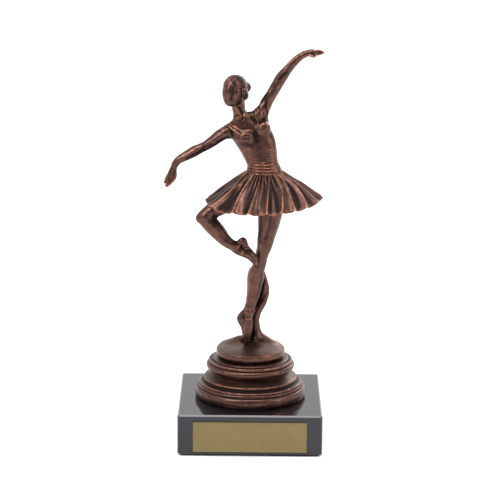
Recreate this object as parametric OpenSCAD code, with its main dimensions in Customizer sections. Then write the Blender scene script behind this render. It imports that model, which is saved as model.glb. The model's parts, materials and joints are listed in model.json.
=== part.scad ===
// Dancer statuette: a bronze figure cast in sections, on a three-tier
// bronze plinth bolted to a polished marble block. Millimetres, +Z up.
// Origin: centre of the felt underside. The figure faces -Y.

/* [Marble block] */
// Width and depth of the square block
base_w = 70; // [66:1:100]
// Thickness of the block
base_h = 20; // [18:1:30]
// Chamfer round the block's edges
base_chamfer = 0.7; // [0.3:0.1:1.5]
// Thickness of the felt sheet under the block
felt_t = 0.8; // [0.5:0.1:2]

/* [Name plate] */
// Width of the brass plate
plate_w = 55; // [30:1:60]
// Height of the brass plate
plate_h = 15; // [8:1:16]
// Thickness of the brass plate
plate_t = 0.5; // [0.3:0.1:1]
// Thickness of the adhesive film behind the plate
tape_t = 0.2; // [0.1:0.05:0.4]

/* [Plinth] */
// Greatest radius of the lowest tier
foot_r = 27.4; // [26:0.2:32]
// Height of the lowest tier
foot_h = 12.4; // [11:0.2:16]
// Greatest radius of the middle tier
mid_r = 21.7; // [21:0.1:23]
// Height of the middle tier
mid_h = 7.5; // [7:0.1:10]
// Greatest radius of the top tier
top_r = 17.1; // [16.5:0.1:18]
// Height of the top tier, from its seat to the toe of the figure
top_h = 5.9; // [5.5:0.1:8]

/* [Skirt] */
// Half width of the skirt at its hem
hem_rx = 28.5; // [26:0.5:30]
// Half depth of the skirt at its hem
hem_ry = 25; // [22:0.5:27]
// Number of flutes round the skirt
flutes = 26; // [16:2:32]
// Thickness of the skirt's wall
skirt_t = 1.2; // [0.9:0.1:1.6]

/* [Fixings] */
// Diameter of the clamping stud
stud_d = 5; // [4:0.5:6]
// Diameter of the joining dowels
dowel_d = 2; // [1.6:0.1:2.2]
// Gap between a dowel or stud and its hole, on the diameter
hole_gap = 0.1; // [0.06:0.02:0.2]

/* [Hidden] */
$fn = 64;

bronze = "#6b4636";
marble = "#222226";
brass = "#a08c5a";
steel = "#9a9a9e";

// Levels
block_top = felt_t + base_h;
mid_z = block_top + foot_h;
top_z = mid_z + mid_h;
toe_z = top_z + top_h;
waist_z = 87.2; // top of the skirt, above the toe
top_flat = 4.2; // height of the top tier's flat seat above its underside
collar_t = 1.4; // thickness of the skirt's top

// Clamping hardware under the block
recess_d = 19;
recess_h = 9;
washer_d = 16;
washer_t = 1.2;
nut_flats = 8;
nut_h = 4;
stud_end = 3.2; // stud's end below the nut, above the table
stud_bite = 3; // length of the stud inside the top tier

// Ring centres and half sizes of each casting: [x, y, z, half width, half depth],
// measured from the toe of the standing foot. Each casting ends in flat faces, where
// its neighbour is cut to the same plane.
standing_line = [
    [10, 0.1, 77, 5.7, 5.7],
    [10, 0.1, 74, 5.8, 5.8],
    [9.8, 0, 70, 5.8, 5.8],
    [8.8, -0.2, 63, 5.3, 5.4],
    [7.6, -0.5, 56.5, 4.4, 4.7],
    [6.4, -0.8, 50.6, 3.7, 4.2],
    [5.2, -1, 46.2, 3.4, 3.9],
    [4.2, -1.2, 41.5, 3.4, 4],
    [3.3, -0.8, 38, 3.5, 3.7],
    [2.5, 0.1, 34, 3.8, 3.7],
    [2, 0.5, 30, 3.6, 3.6],
    [1.2, 0.5, 25.5, 3, 3],
    [0.2, 0.3, 21, 2.4, 2.5],
    [-1, 0.1, 17.6, 2.4, 2.3],
    [-2.4, 0, 15.6, 3.5, 2.4],
    [-2.9, 0, 13.4, 4, 2.4],
    [-2.3, 0, 11, 3.3, 2.3],
    [-1.8, 0, 8.4, 2.7, 2.2],
    [-1.9, 0, 5, 2.4, 2.1],
    [-1.9, 0, 2, 1.9, 1.9],
    [-1.9, 0, 0, 1.5, 1.5]
];
raised_line = [
    [-0.6, -0.6, 76.2, 5.2, 5.4],
    [-6, -1.5, 74.3, 5.1, 5.3],
    [-12, -2.5, 71.8, 4.7, 5],
    [-18.9, -3.4, 68, 4.1, 4.4],
    [-20.8, -3.6, 66.9, 4.3, 4.1],
    [-21.7, -3.8, 64.6, 4.4, 3.9],
    [-20.4, -3.8, 61.6, 3.9, 3.8],
    [-18, -4, 59.9, 3.7, 3.7],
    [-14.4, -4.3, 55.6, 3.2, 3.2],
    [-11.5, -4.7, 53.1, 2.7, 2.7],
    [-9, -5, 51.6, 2.4, 2.4],
    [-6, -5.5, 50.8, 3.8, 2.3],
    [-3.4, -5.9, 48.8, 3.9, 2.2],
    [-0.9, -6.1, 46.2, 3.1, 2.1],
    [0.7, -6.2, 43.8, 2.4, 1.9],
    [1.5, -6.1, 41.2, 1.7, 1.7],
    [1.7, -5.9, 38.4, 0.9, 1]
];
pelvis_line = [
    [5.8, 0.1, 77, 8.9, 6.8],
    [5.8, 0.1, 81, 8.2, 6.3],
    [5.8, 0.1, 85.8, 7.4, 5.6]
];
sash_line = [
    [5.9, 0, 86, 8.9, 7],
    [5.8, 0, 88.4, 8.5, 6.7],
    [5.7, 0, 89.6, 8.2, 6.5],
    [5.2, 0, 94, 7.5, 5.9]
];
bodice_line = [
    [6, 0, 89, 7.4, 5.7],
    [4.7, -0.1, 94.4, 7.6, 5.7],
    [3.4, -0.2, 98.4, 8.1, 5.8],
    [1.8, -0.4, 102.6, 8.9, 6],
    [-0.3, -0.3, 106.2, 9.7, 5.8],
    [-2.3, 0.1, 109.2, 10, 5.2],
    [-4, 0.4, 112.4, 7.6, 4.4],
    [-5.3, 0.4, 115.2, 4.4, 3.6],
    [-6.1, 0.3, 117.6, 3.3, 3.2],
    [-6.8, 0.4, 121.4, 3.1, 3.1]
];
right_arm_line = [
    [-10.6, 0.4, 108, 3.2, 3.1],
    [-13, 0.2, 106.8, 3.1, 3],
    [-16, -0.3, 104.7, 2.75, 2.8],
    [-19.2, -1, 102.2, 2.4, 2.5],
    [-22.7, -1.8, 100, 2.15, 2.3],
    [-25.2, -2.4, 98.9, 2.3, 2.2],
    [-28, -3, 97.6, 2.4, 2.2],
    [-31.7, -3.6, 95.6, 2, 1.9],
    [-35, -4, 93.3, 1.6, 1.5],
    [-37.2, -4.2, 91, 1.4, 1.2],
    [-38.3, -4.4, 88.2, 1.8, 1.1],
    [-39.1, -4.5, 85, 2.3, 1.1],
    [-40.3, -4.6, 82, 1.5, 0.9],
    [-41.1, -4.6, 80.2, 0.6, 0.6]
];
left_arm_line = [
    [3.4, 0.5, 114.4, 3.3, 3.4],
    [5.2, 0.5, 118.2, 2.9, 2.9],
    [7.2, 0.5, 122.2, 2.5, 2.6],
    [9.3, 0.4, 126, 2.45, 2.5],
    [11.6, 0.3, 130.3, 2.45, 2.4],
    [13.9, 0.2, 133.8, 2.35, 2.3],
    [16.8, 0, 137.4, 2, 2.1],
    [19.9, -0.2, 141, 1.85, 1.8],
    [22.5, -0.4, 143.4, 1.65, 1.5],
    [24.9, -0.5, 144.9, 1.5, 1.3],
    [27.2, -0.6, 145.4, 1.75, 1.2],
    [29.4, -0.7, 145.4, 1.7, 1.1],
    [31.6, -0.8, 145.7, 1, 0.9],
    [33.4, -0.8, 145.7, 0.5, 0.5]
];
head_line = [
    [-9.8, -1.6, 119.4, 2.2, 2.4],
    [-9.5, -1, 121.4, 4.2, 4.8],
    [-9.1, -0.4, 124, 5.6, 6.2],
    [-8.7, 0.1, 127, 6.2, 6.9],
    [-8.4, 0.4, 130, 5.9, 6.8],
    [-8.2, 0.6, 132.3, 4.6, 5.6],
    [-8.1, 0.6, 133.8, 2.5, 3.2],
    [-8.1, 0.6, 134.4, 0.8, 1]
];
bun_line = [
    [-4.6, 5.6, 127.8, 2.2, 2.2],
    [-3.9, 6.6, 127.8, 2.7, 2.7],
    [-3, 8, 127.8, 2.6, 2.6],
    [-2.3, 9.1, 127.8, 1.8, 1.8],
    [-2, 9.6, 127.8, 0.8, 0.8]
];
hill_line = [
    [0, 0, top_flat - top_h, 16.2, 16.2],
    [0, 0.1, -1.2, 15.8, 15.8],
    [0, 0.8, -0.6, 14.5, 14.2],
    [0, 3, 0.2, 12.2, 9.4],
    [0.3, 4.6, 1.6, 9, 6],
    [0.8, 5.1, 3.2, 6, 4.2],
    [1.6, 5, 5.2, 3.6, 3.2],
    [2, 4.9, 8, 2.6, 2.3],
    [2.1, 5, 12, 2.2, 2.1],
    [3, 5, 16, 2.4, 2],
    [4.9, 5, 19.8, 2.1, 1.7],
    [6.6, 5, 23.4, 1.6, 1.5],
    [7.6, 4.9, 27, 1.25, 1.3],
    [7.4, 4.7, 30.6, 1.1, 1.2],
    [6.3, 4.4, 34.2, 1.1, 1.2],
    [5, 4, 37.2, 1, 1.1]
];

// Turned profiles, [radius, height above the tier's seat], inside the greatest radius
function foot_profile(r, h) = [
    [0, 0], [r - 0.7, 0], [r - 0.1, 1.2], [r, 2.6], [r - 0.1, 4.4], [r - 0.7, 5.4],
    [r - 1.6, 5.7], [r - 1.5, 6.4], [r - 2.1, 6.9], [r - 2.3, 7.9], [r - 3.9, 8.4],
    [r - 4.6, 8.9], [r - 5, 9.9], [r - 6.6, 11.2], [r - 8, h - 0.4], [r - 8.9, h], [0, h]
];
function mid_profile(r, h) = [
    [0, 0], [r - 3, 0], [r - 1.6, 0.8], [r - 0.4, 2], [r, 3.4], [r - 0.4, 4.5],
    [r - 1.3, 4.9], [r - 2, 5.3], [r - 2.2, 6.1], [r - 2.9, 6.8], [r - 3.8, h],
    [0, h]
];
function top_profile(r) = [
    [0, 0], [r - 1.6, 0], [r - 1, 0.7], [r - 0.1, 1.6], [r, 3], [r - 0.6, top_flat], [0, top_flat]
];

// Sweeps an elliptical ring along a line of stations and closes both ends flat.
// The rings lie across the line, or level when the shape is a mound.
function unit(v) = v / norm(v);
function centre(line, i) = [line[i][0], line[i][1], line[i][2]];
function heading(line, i) =
    unit(centre(line, min(i + 1, len(line) - 1)) - centre(line, max(i - 1, 0)));
function ring(line, i, sides, level) =
    let (
        t = level ? [0, 0, 1] : heading(line, i),
        depth = unit([0, 1, 0] - t[1] * t),
        width = cross(depth, t)
    )
    [for (k = [0:sides - 1])
        centre(line, i) + line[i][3] * cos(360 * k / sides) * width
            + line[i][4] * sin(360 * k / sides) * depth];
module casting(line, sides = 16, level = false) {
    rings = len(line);
    points = [for (i = [0:rings - 1]) each ring(line, i, sides, level)];
    walls = [for (i = [0:rings - 2], k = [0:sides - 1])
        let (
            a = i * sides + k, b = i * sides + (k + 1) % sides,
            c = a + sides, d = b + sides
        )
        each [[a, d, b], [a, c, d]]];
    start = [for (k = [0:sides - 1]) k];
    finish = [for (k = [0:sides - 1]) rings * sides - 1 - k];
    polyhedron(points, concat([start], walls, [finish]), convexity = 6);
}

// Turns children so that their +Z runs along a direction.
module aimed(along) {
    rotate(atan2(along[1], along[0]), [0, 0, 1])
        rotate([0, acos(along[2] / norm(along)), 0]) children();
}

// The space beyond a casting's first ring, which its neighbour gives up.
module beyond(line, reach) {
    translate(centre(line, 0)) aimed(heading(line, 0)) translate([-reach, -reach, 0])
        cube([2 * reach, 2 * reach, 2 * reach]);
}

// Everything between two heights, which a casting gives up to its neighbour.
module slab(from_z, to_z) {
    translate([-25, -15, from_z]) cube([50, 30, to_z - from_z]);
}

// A round rod between two points; its hole is wider by hole_gap.
module rod(from, to, d) {
    translate(from) aimed(to - from) cylinder(d = d, h = norm(to - from));
}
module rod_hole(from, to, d) {
    rod(from, to, d + hole_gap);
}

// Dowel ends, measured from the toe
toe_pin = [[-1.9, 0, -1.4], [-1.9, 0, 4]];
support_pin = [[5.7, 4.2, 35.6], [3.4, 0.6, 36.2]];
knee_pin = [[-0.6, -6.1, 45.8], [3.2, -1.6, 45.8]];
raised_hip_pin = [[-6.5, -1.6, 74.2], [3.4, -0.2, 78.2]];
standing_hip_pin = [[9.8, 0.1, 68.5], [10, 0.2, 81]];
waist_pin = [[5.7, 0, 80], [5, 0, 97]];
right_shoulder_pin = [[-17, -0.5, 103.9], [-6, 0.6, 110]];
left_shoulder_pin = [[6.8, 0.5, 121.4], [0.8, 0.4, 109]];
neck_pin = [[-5.4, 0.4, 113.6], [-7.6, 0.5, 126]];
bun_pin = [[-6.2, 3.2, 127.8], [-3.4, 7.3, 127.8]];
waist_d = 3;
small_d = 1.2;
sash_top = 92; // plane where the sash meets the bodice
neck_top = 120.4; // plane where the neck meets the head
knee_flat = -4.5; // plane where the raised foot rests on the knee

module place_figure() {
    translate([0, 0, toe_z]) children();
}

module base_felt() {
    color("#1d241f") translate([0, 0, felt_t / 2])
        cube([base_w - 3, base_w - 3, felt_t], center = true);
}

module block_blank() {
    inset = base_w - 2 * base_chamfer;
    translate([0, 0, felt_t]) hull() {
        translate([0, 0, base_h / 2])
            cube([base_w, inset, base_h - 2 * base_chamfer], center = true);
        translate([0, 0, base_h / 2])
            cube([inset, base_w, base_h - 2 * base_chamfer], center = true);
        translate([0, 0, base_h / 2]) cube([inset, inset, base_h], center = true);
    }
}

module marble_block() {
    color(marble) difference() {
        block_blank();
        translate([0, 0, felt_t - 1]) cylinder(d = recess_d, h = recess_h + 1);
        translate([0, 0, felt_t]) cylinder(d = stud_d + 1, h = base_h + 1);
    }
}

module front_sheet(w, h, t, gap) {
    translate([0, -base_w / 2 - gap - t / 2, felt_t + base_h / 2 - 0.8])
        cube([w, t, h], center = true);
}
module plate_tape() {
    color("#d8d4c8") front_sheet(plate_w - 2, plate_h - 2, tape_t, 0);
}
module name_plate() {
    color(brass) front_sheet(plate_w, plate_h, plate_t, tape_t);
}

washer_z = felt_t + recess_h - washer_t;
nut_z = washer_z - nut_h;
module clamp_stud() {
    color(steel) translate([0, 0, stud_end])
        cylinder(d = stud_d, h = top_z + stud_bite - stud_end);
}
module clamp_nut() {
    color(steel) translate([0, 0, nut_z]) difference() {
        cylinder(d = nut_flats / cos(30), h = nut_h, $fn = 6);
        translate([0, 0, -1]) cylinder(d = stud_d + hole_gap, h = nut_h + 2);
    }
}
module clamp_washer() {
    color(steel) translate([0, 0, washer_z]) difference() {
        cylinder(d = washer_d, h = washer_t);
        translate([0, 0, -1]) cylinder(d = stud_d + 0.4, h = washer_t + 2);
    }
}

module turned(profile, z) {
    translate([0, 0, z]) rotate_extrude() polygon(profile);
}
module stud_hole(z, h) {
    translate([0, 0, z]) cylinder(d = stud_d + 4 * hole_gap, h = h);
}
module plinth_foot() {
    color(bronze) difference() {
        turned(foot_profile(foot_r, foot_h), block_top);
        stud_hole(block_top - 1, foot_h + 2);
    }
}
module plinth_middle() {
    color(bronze) difference() {
        turned(mid_profile(mid_r, mid_h), mid_z);
        stud_hole(mid_z - 1, mid_h + 2);
    }
}
module toe_socket() {
    translate([toe_pin[0][0], 0, 0]) cylinder(h = 5, r1 = 1.52, r2 = 2.52);
}
module plinth_top() {
    color(bronze) difference() {
        turned(top_profile(top_r), top_z);
        translate([0, 0, top_z - 1]) cylinder(d = stud_d + hole_gap, h = stud_bite + 1);
    }
}
module ground_mound() {
    color(bronze) place_figure() difference() {
        casting(hill_line, 24, level = true);
        toe_socket();
        rod_hole(toe_pin[0], toe_pin[1], small_d);
        rod_hole(support_pin[0], support_pin[1], small_d);
    }
}

module standing_leg() {
    color(bronze) place_figure() difference() {
        casting(standing_line);
        translate([-5, knee_flat - 10, 36]) cube([16, 10, 20]);
        rod_hole(toe_pin[0], toe_pin[1], small_d);
        rod_hole(support_pin[0], support_pin[1], small_d);
        rod_hole(knee_pin[0], knee_pin[1], small_d);
        rod_hole(standing_hip_pin[0], standing_hip_pin[1], dowel_d);
    }
}
module raised_leg() {
    color(bronze) place_figure() difference() {
        casting(raised_line);
        translate([-3, knee_flat, 34]) cube([10, 10, 24]);
        rod_hole(knee_pin[0], knee_pin[1], small_d);
        rod_hole(raised_hip_pin[0], raised_hip_pin[1], dowel_d);
    }
}
module pelvis() {
    color(bronze) place_figure() difference() {
        casting(pelvis_line, 20);
        beyond(raised_line, 12);
        rod_hole(standing_hip_pin[0], standing_hip_pin[1], dowel_d);
        rod_hole(raised_hip_pin[0], raised_hip_pin[1], dowel_d);
        rod_hole(waist_pin[0], waist_pin[1], waist_d);
    }
}

// Skirt: s runs from the waist (0) to the hem (1), a is the angle round it.
waist_rx = 8.9;
waist_ry = 7;
skirt_drop = 15.6;
flute_depth = 1;
hem_wave = 0.5;
skirt_rings = 4;
flute_steps = 2;
function skirt_point(s, a, inset) =
    let (
        wave = cos(flutes * a) * flute_depth * s,
        fall = skirt_drop * (0.6 * s + 0.4 * s * s)
    )
    [
        5.8 + (waist_rx + (hem_rx - waist_rx) * s + wave - inset) * cos(a),
        (waist_ry + (hem_ry - waist_ry) * s + wave - inset) * sin(a),
        waist_z - fall + hem_wave * cos(flutes * a) * s - inset * collar_t / skirt_t * (1 - s)
    ];
function quad(a, b, c, d) = [[a, b, c], [a, c, d]];
module skirt_shell() {
    n = flutes * flute_steps;
    m = skirt_rings;
    outer = [for (i = [0:m], k = [0:n - 1]) skirt_point(i / m, 360 * k / n, 0)];
    inner = [for (i = [0:m], k = [0:n - 1]) skirt_point(i / m, 360 * k / n, skirt_t)];
    shift = (m + 1) * n;
    outside = [for (i = [0:m - 1], k = [0:n - 1])
        let (a = i * n + k, b = i * n + (k + 1) % n) each quad(a, b, b + n, a + n)];
    inside = [for (i = [0:m - 1], k = [0:n - 1])
        let (a = shift + i * n + k, b = shift + i * n + (k + 1) % n)
        each quad(a, a + n, b + n, b)];
    rim = [for (k = [0:n - 1])
        let (a = m * n + k, b = m * n + (k + 1) % n)
        each quad(a, b, b + shift, a + shift)];
    top = [for (k = [0:n - 1]) n - 1 - k];
    ceiling = [for (k = [0:n - 1]) shift + k];
    polyhedron(
        concat(outer, inner), concat(outside, inside, rim, [top, ceiling]), convexity = 10
    );
}
module skirt() {
    color(bronze) place_figure() difference() {
        skirt_shell();
        rod_hole(waist_pin[0], waist_pin[1], waist_d);
    }
}

module waist_sash() {
    color(bronze) place_figure() difference() {
        casting(sash_line, 24);
        slab(waist_z - 5, waist_z);
        slab(sash_top, sash_top + 5);
        rod_hole(waist_pin[0], waist_pin[1], waist_d);
    }
}
module bodice() {
    color(bronze) place_figure() difference() {
        casting(bodice_line, 24);
        slab(sash_top - 6, sash_top);
        slab(neck_top, neck_top + 6);
        beyond(right_arm_line, 5);
        beyond(left_arm_line, 5);
        rod_hole(waist_pin[0], waist_pin[1], waist_d);
        rod_hole(right_shoulder_pin[0], right_shoulder_pin[1], dowel_d);
        rod_hole(left_shoulder_pin[0], left_shoulder_pin[1], dowel_d);
        rod_hole(neck_pin[0], neck_pin[1], dowel_d);
    }
}
module right_arm() {
    color(bronze) place_figure() difference() {
        casting(right_arm_line);
        rod_hole(right_shoulder_pin[0], right_shoulder_pin[1], dowel_d);
    }
}
module left_arm() {
    color(bronze) place_figure() difference() {
        casting(left_arm_line);
        rod_hole(left_shoulder_pin[0], left_shoulder_pin[1], dowel_d);
    }
}
module head() {
    color(bronze) place_figure() difference() {
        casting(head_line, 20);
        slab(neck_top - 6, neck_top);
        beyond(bun_line, 3);
        rod_hole(neck_pin[0], neck_pin[1], dowel_d);
        rod_hole(bun_pin[0], bun_pin[1], small_d);
    }
}
module hair_bun() {
    color(bronze) place_figure() difference() {
        casting(bun_line, 14);
        rod_hole(bun_pin[0], bun_pin[1], small_d);
    }
}

module dowel(pin, d) {
    color(steel) place_figure() rod(pin[0], pin[1], d);
}
module toe_dowel() dowel(toe_pin, small_d);
module support_dowel() dowel(support_pin, small_d);
module knee_dowel() dowel(knee_pin, small_d);
module waist_stud() dowel(waist_pin, waist_d);
module neck_dowel() dowel(neck_pin, dowel_d);
module bun_dowel() dowel(bun_pin, small_d);
module hip_dowels() {
    dowel(standing_hip_pin, dowel_d);
    dowel(raised_hip_pin, dowel_d);
}
module shoulder_dowels() {
    dowel(right_shoulder_pin, dowel_d);
    dowel(left_shoulder_pin, dowel_d);
}

base_felt();
marble_block();
plate_tape();
name_plate();
clamp_stud();
clamp_nut();
clamp_washer();
plinth_foot();
plinth_middle();
plinth_top();
ground_mound();
toe_dowel();
support_dowel();
standing_leg();
raised_leg();
knee_dowel();
hip_dowels();
pelvis();
skirt();
waist_stud();
waist_sash();
bodice();
shoulder_dowels();
right_arm();
left_arm();
neck_dowel();
head();
bun_dowel();
hair_bun();
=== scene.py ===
"""A bronze dancer statuette on a moulded plinth and a polished stone block.

Everything is in metres in the CAD frame. The sculpted castings are worked out in
millimetres measured from the toe of the standing foot, like the CAD model's own lines,
as distance fields on a grid, and then turned into meshes.
"""

import json

import bmesh
import bpy
import numpy as np
import openvdb
from mathutils import Matrix, Vector

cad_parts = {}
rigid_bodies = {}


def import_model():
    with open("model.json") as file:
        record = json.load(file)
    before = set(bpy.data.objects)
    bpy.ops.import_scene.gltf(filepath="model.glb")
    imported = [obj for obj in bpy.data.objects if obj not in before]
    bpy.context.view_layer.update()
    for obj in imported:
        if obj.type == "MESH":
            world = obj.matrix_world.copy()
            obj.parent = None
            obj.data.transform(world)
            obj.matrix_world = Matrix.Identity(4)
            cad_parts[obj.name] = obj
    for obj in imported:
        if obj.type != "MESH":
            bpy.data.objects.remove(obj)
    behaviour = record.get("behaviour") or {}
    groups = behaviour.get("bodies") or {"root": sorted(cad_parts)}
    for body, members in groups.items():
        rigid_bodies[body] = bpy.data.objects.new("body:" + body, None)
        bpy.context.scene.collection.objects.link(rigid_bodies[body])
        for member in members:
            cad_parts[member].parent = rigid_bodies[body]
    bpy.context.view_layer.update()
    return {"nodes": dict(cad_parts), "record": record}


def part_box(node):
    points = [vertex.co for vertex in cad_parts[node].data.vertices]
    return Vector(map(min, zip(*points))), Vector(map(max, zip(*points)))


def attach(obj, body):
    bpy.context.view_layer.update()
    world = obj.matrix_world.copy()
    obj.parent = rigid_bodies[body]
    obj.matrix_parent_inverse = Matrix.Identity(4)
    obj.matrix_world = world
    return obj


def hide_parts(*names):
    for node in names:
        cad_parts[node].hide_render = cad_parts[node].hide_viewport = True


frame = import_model()

MM = 0.001
FAR = 3.0  # how far from a surface a field is kept, in mm
FINE = 1.0  # grid steps are coarser while working


def cad_mm(node):
    """A CAD node's box, in millimetres."""
    low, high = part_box(node)
    return np.array(low) / MM, np.array(high) / MM


def in_scene(name, data):
    """A new object for some data, linked to the scene."""
    obj = bpy.data.objects.new(name, data)
    bpy.context.scene.collection.objects.link(obj)
    return obj


TOE = np.array([0.0, 0.0, cad_mm("standing_leg")[0][2]])
VIEW_UP = np.radians(13.7)  # how far above the horizon the photograph was taken
TILT = np.tan(VIEW_UP)  # seen from there, a point shows at the height z + TILT * y


# ---------------------------------------------------------------- curves and fields


def smooth_rows(rows, steps=5):
    """Rows of numbers along a smooth curve through the given rows."""
    p = np.array(rows, float)
    q = np.vstack([2 * p[0] - p[1], p, 2 * p[-1] - p[-2]])
    out = []
    for a, b, c, d in zip(q[:-3], q[1:-2], q[2:-1], q[3:]):
        for t in np.arange(steps) / steps:
            bend = (2 * a - 5 * b + 4 * c - d) * t * t + (3 * b - 3 * c + d - a) * t**3
            out.append(0.5 * (2 * b + (c - a) * t + bend))
    out.append(p[-1])
    return np.array(out)


def step_up(x, low, high):
    """0 below low, 1 above high, and smooth between."""
    t = np.clip((x - low) / (high - low), 0, 1)
    return t * t * (3 - 2 * t)


def unit(v):
    v = np.array(v, float)
    return v / np.linalg.norm(v)


class Field:
    """A distance field on a grid in millimetres, negative inside."""

    def __init__(self, low, high, step):
        self.step = step * FINE
        self.low = np.array(low, float)
        counts = np.ceil((np.array(high) - self.low) / self.step).astype(int) + 1
        self.axes = [
            (self.low[i] + self.step * np.arange(counts[i])).astype(np.float32)
            for i in range(3)
        ]
        self.d = np.full(counts, FAR, np.float32)

    def window(self, low, high):
        """The slices of a box, and its coordinates ready to broadcast."""
        parts = []
        for i in range(3):
            start = int(np.floor((low[i] - self.low[i]) / self.step))
            stop = int(np.ceil((high[i] - self.low[i]) / self.step)) + 1
            start = min(max(start, 0), len(self.axes[i]) - 1)
            parts.append(slice(start, min(max(stop, start + 1), len(self.axes[i]))))
        x, y, z = (self.axes[i][parts[i]] for i in range(3))
        return tuple(parts), (x[:, None, None], y[None, :, None], z[None, None, :])

    def along(self, rows, reach, measure):
        """The least of measure(offsets, row) over the spans of a curve."""
        rows = np.array(rows, np.float32)
        low, high = rows[:, :3].min(0) - reach, rows[:, :3].max(0) + reach
        whole, _ = self.window(low, high)
        out = np.full(self.d[whole].shape, FAR, np.float32)
        for a, b in zip(rows[:-1], rows[1:]):
            axis = b[:3] - a[:3]
            length2 = max(float(axis @ axis), 1e-9)
            low = np.minimum(a[:3], b[:3]) - reach
            high = np.maximum(a[:3], b[:3]) + reach
            part, (x, y, z) = self.window(low, high)
            px, py, pz = x - a[0], y - a[1], z - a[2]
            t = np.clip((px * axis[0] + py * axis[1] + pz * axis[2]) / length2, 0, 1)
            offsets = px - t * axis[0], py - t * axis[1], pz - t * axis[2]
            value = measure(offsets, a[3:], b[3:], t)
            local = tuple(
                slice(p.start - w.start, p.stop - w.start) for p, w in zip(part, whole)
            )
            np.minimum(out[local], value, out=out[local])
        return whole, out

    def bar(self, rows, flat=None, steps=5):
        """A round bar through rows of (x, y, z, radius). With flat, a direction, a fifth
        column says how thick the bar is that way, as a share of its radius."""
        rows = smooth_rows(rows, steps)
        reach = rows[:, 3].max() + FAR
        n = None if flat is None else unit(flat).astype(np.float32)

        def measure(v, a, b, t):
            square = v[0] ** 2 + v[1] ** 2 + v[2] ** 2
            radius = a[0] + t * (b[0] - a[0])
            if n is None:
                return np.sqrt(square) - radius
            share = a[1] + t * (b[1] - a[1])
            across = v[0] * n[0] + v[1] * n[1] + v[2] * n[2]
            stretched = square + (1 / share**2 - 1) * across**2
            return (np.sqrt(stretched) - radius) * np.sqrt(share)

        return self.along(rows, reach, measure)

    def blob(self, centre, radii, turn=None):
        """An ellipsoid. turn holds the directions of its three axes as rows."""
        radii = np.array(radii, np.float32) * np.ones(3, np.float32)
        centre = np.array(centre, float)
        reach = radii.max() + FAR
        part, (x, y, z) = self.window(centre - reach, centre + reach)
        v = x - centre[0], y - centre[1], z - centre[2]
        if turn is not None:
            v = [v[0] * m[0] + v[1] * m[1] + v[2] * m[2] for m in np.array(turn)]
        near = np.sqrt(sum((v[i] / radii[i]) ** 2 for i in range(3)))
        slope = np.sqrt(sum((v[i] / radii[i] ** 2) ** 2 for i in range(3)))
        value = near * (near - 1) / np.maximum(slope, 1e-6)
        return part, np.minimum(value, FAR).astype(np.float32)

    def join(self, shape, soft=0.0):
        """Adds a shape, with a fillet of about that size where it meets the rest."""
        part, new = shape
        old = self.d[part]
        if soft:
            h = np.clip(0.5 + 0.5 * (old - new) / soft, 0, 1)
            self.d[part] = old + (new - old) * h - soft * h * (1 - h)
        else:
            self.d[part] = np.minimum(old, new)
        return self

    def press(self, rows, depth, steps=5):
        """A soft groove along rows of (x, y, z, width); a negative depth makes a ridge."""
        rows = smooth_rows(rows, steps)

        def measure(v, a, b, t):
            width = a[0] + t * (b[0] - a[0])
            return np.sqrt(v[0] ** 2 + v[1] ** 2 + v[2] ** 2) / width

        part, near = self.along(rows, 2.6 * rows[:, 3].max(), measure)
        self.d[part] += (depth * np.exp(-(near**2))).astype(np.float32)
        return self

    def draw(self, rows, depth):
        """A soft groove (or, below zero, a ridge) laid on the side that faces the front.
        The rows are (x, height, width), the height being where the point shows at y = 0
        when the figure is seen from the front and a little above. Many of the points
        were picked on the photograph and turned into millimetres by a scratch script."""
        rows = smooth_rows(rows, 5)
        y = np.arange(self.axes[1][0], self.axes[1][-1], self.step)
        points = np.stack([
            np.repeat(rows[:, :1], len(y), 1), np.repeat(y[None, :], len(rows), 0),
            rows[:, 1:2] - TILT * y[None, :],
        ], -1)
        d = self.sample(points.reshape(-1, 3)).reshape(len(rows), len(y))
        hit = np.where((d < 0).any(1), (d < 0).argmax(1), d.argmin(1))
        places = points[np.arange(len(rows)), hit]
        return self.press(np.hstack([places, rows[:, 2:3]]), depth, steps=1)

    def sample(self, points, values=None):
        """The field, or other values on its grid, at points, blended between grid points."""
        values = self.d if values is None else values
        place = (points - self.low) / self.step
        limit = np.array(self.d.shape) - 2
        base = np.clip(np.floor(place).astype(int), 0, limit)
        part = np.clip(place - base, 0, 1)
        total = 0.0
        for i in (0, 1):
            for j in (0, 1):
                for k in (0, 1):
                    share = np.prod(np.where([i, j, k], part, 1 - part), axis=1)
                    total = total + share * values[base[:, 0] + i, base[:, 1] + j, base[:, 2] + k]
        return total

    def bend(self, points, radius):
        """How far the surface stands out (positive) or in (negative) at points, against
        its surroundings within a radius, as a share of the radius."""
        n = max(1, int(round(radius / self.step)))
        values = np.clip(self.d, -2.2 * radius, 2.2 * radius)
        for _ in range(2):
            for axis in range(3):
                ends = [(n + 1, n) if i == axis else (0, 0) for i in range(3)]
                total = np.cumsum(np.pad(values, ends, mode="edge"), axis=axis, dtype=np.float64)
                size = values.shape[axis]
                high = np.take(total, np.arange(2 * n + 1, 2 * n + 1 + size), axis=axis)
                low = np.take(total, np.arange(size), axis=axis)
                values = ((high - low) / (2 * n + 1)).astype(np.float32)
        return (self.sample(points, values) - self.sample(points)) / (n * self.step)

    def surface(self):
        """Points and quads of the surface, facing out."""
        grid = openvdb.FloatGrid(FAR)
        grid.copyFromArray(np.clip(self.d, -FAR, FAR))
        points, quads = grid.convertToQuads()
        points = points * self.step + self.low
        a, b, c, d = (points[quads[:, i]] for i in range(4))
        if np.einsum("ij,ij->", np.cross(c - a, d - b), (a + b + c + d) / 4) < 0:
            quads = quads[:, ::-1]
        return points, quads


# ---------------------------------------------------------------- meshes


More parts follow.
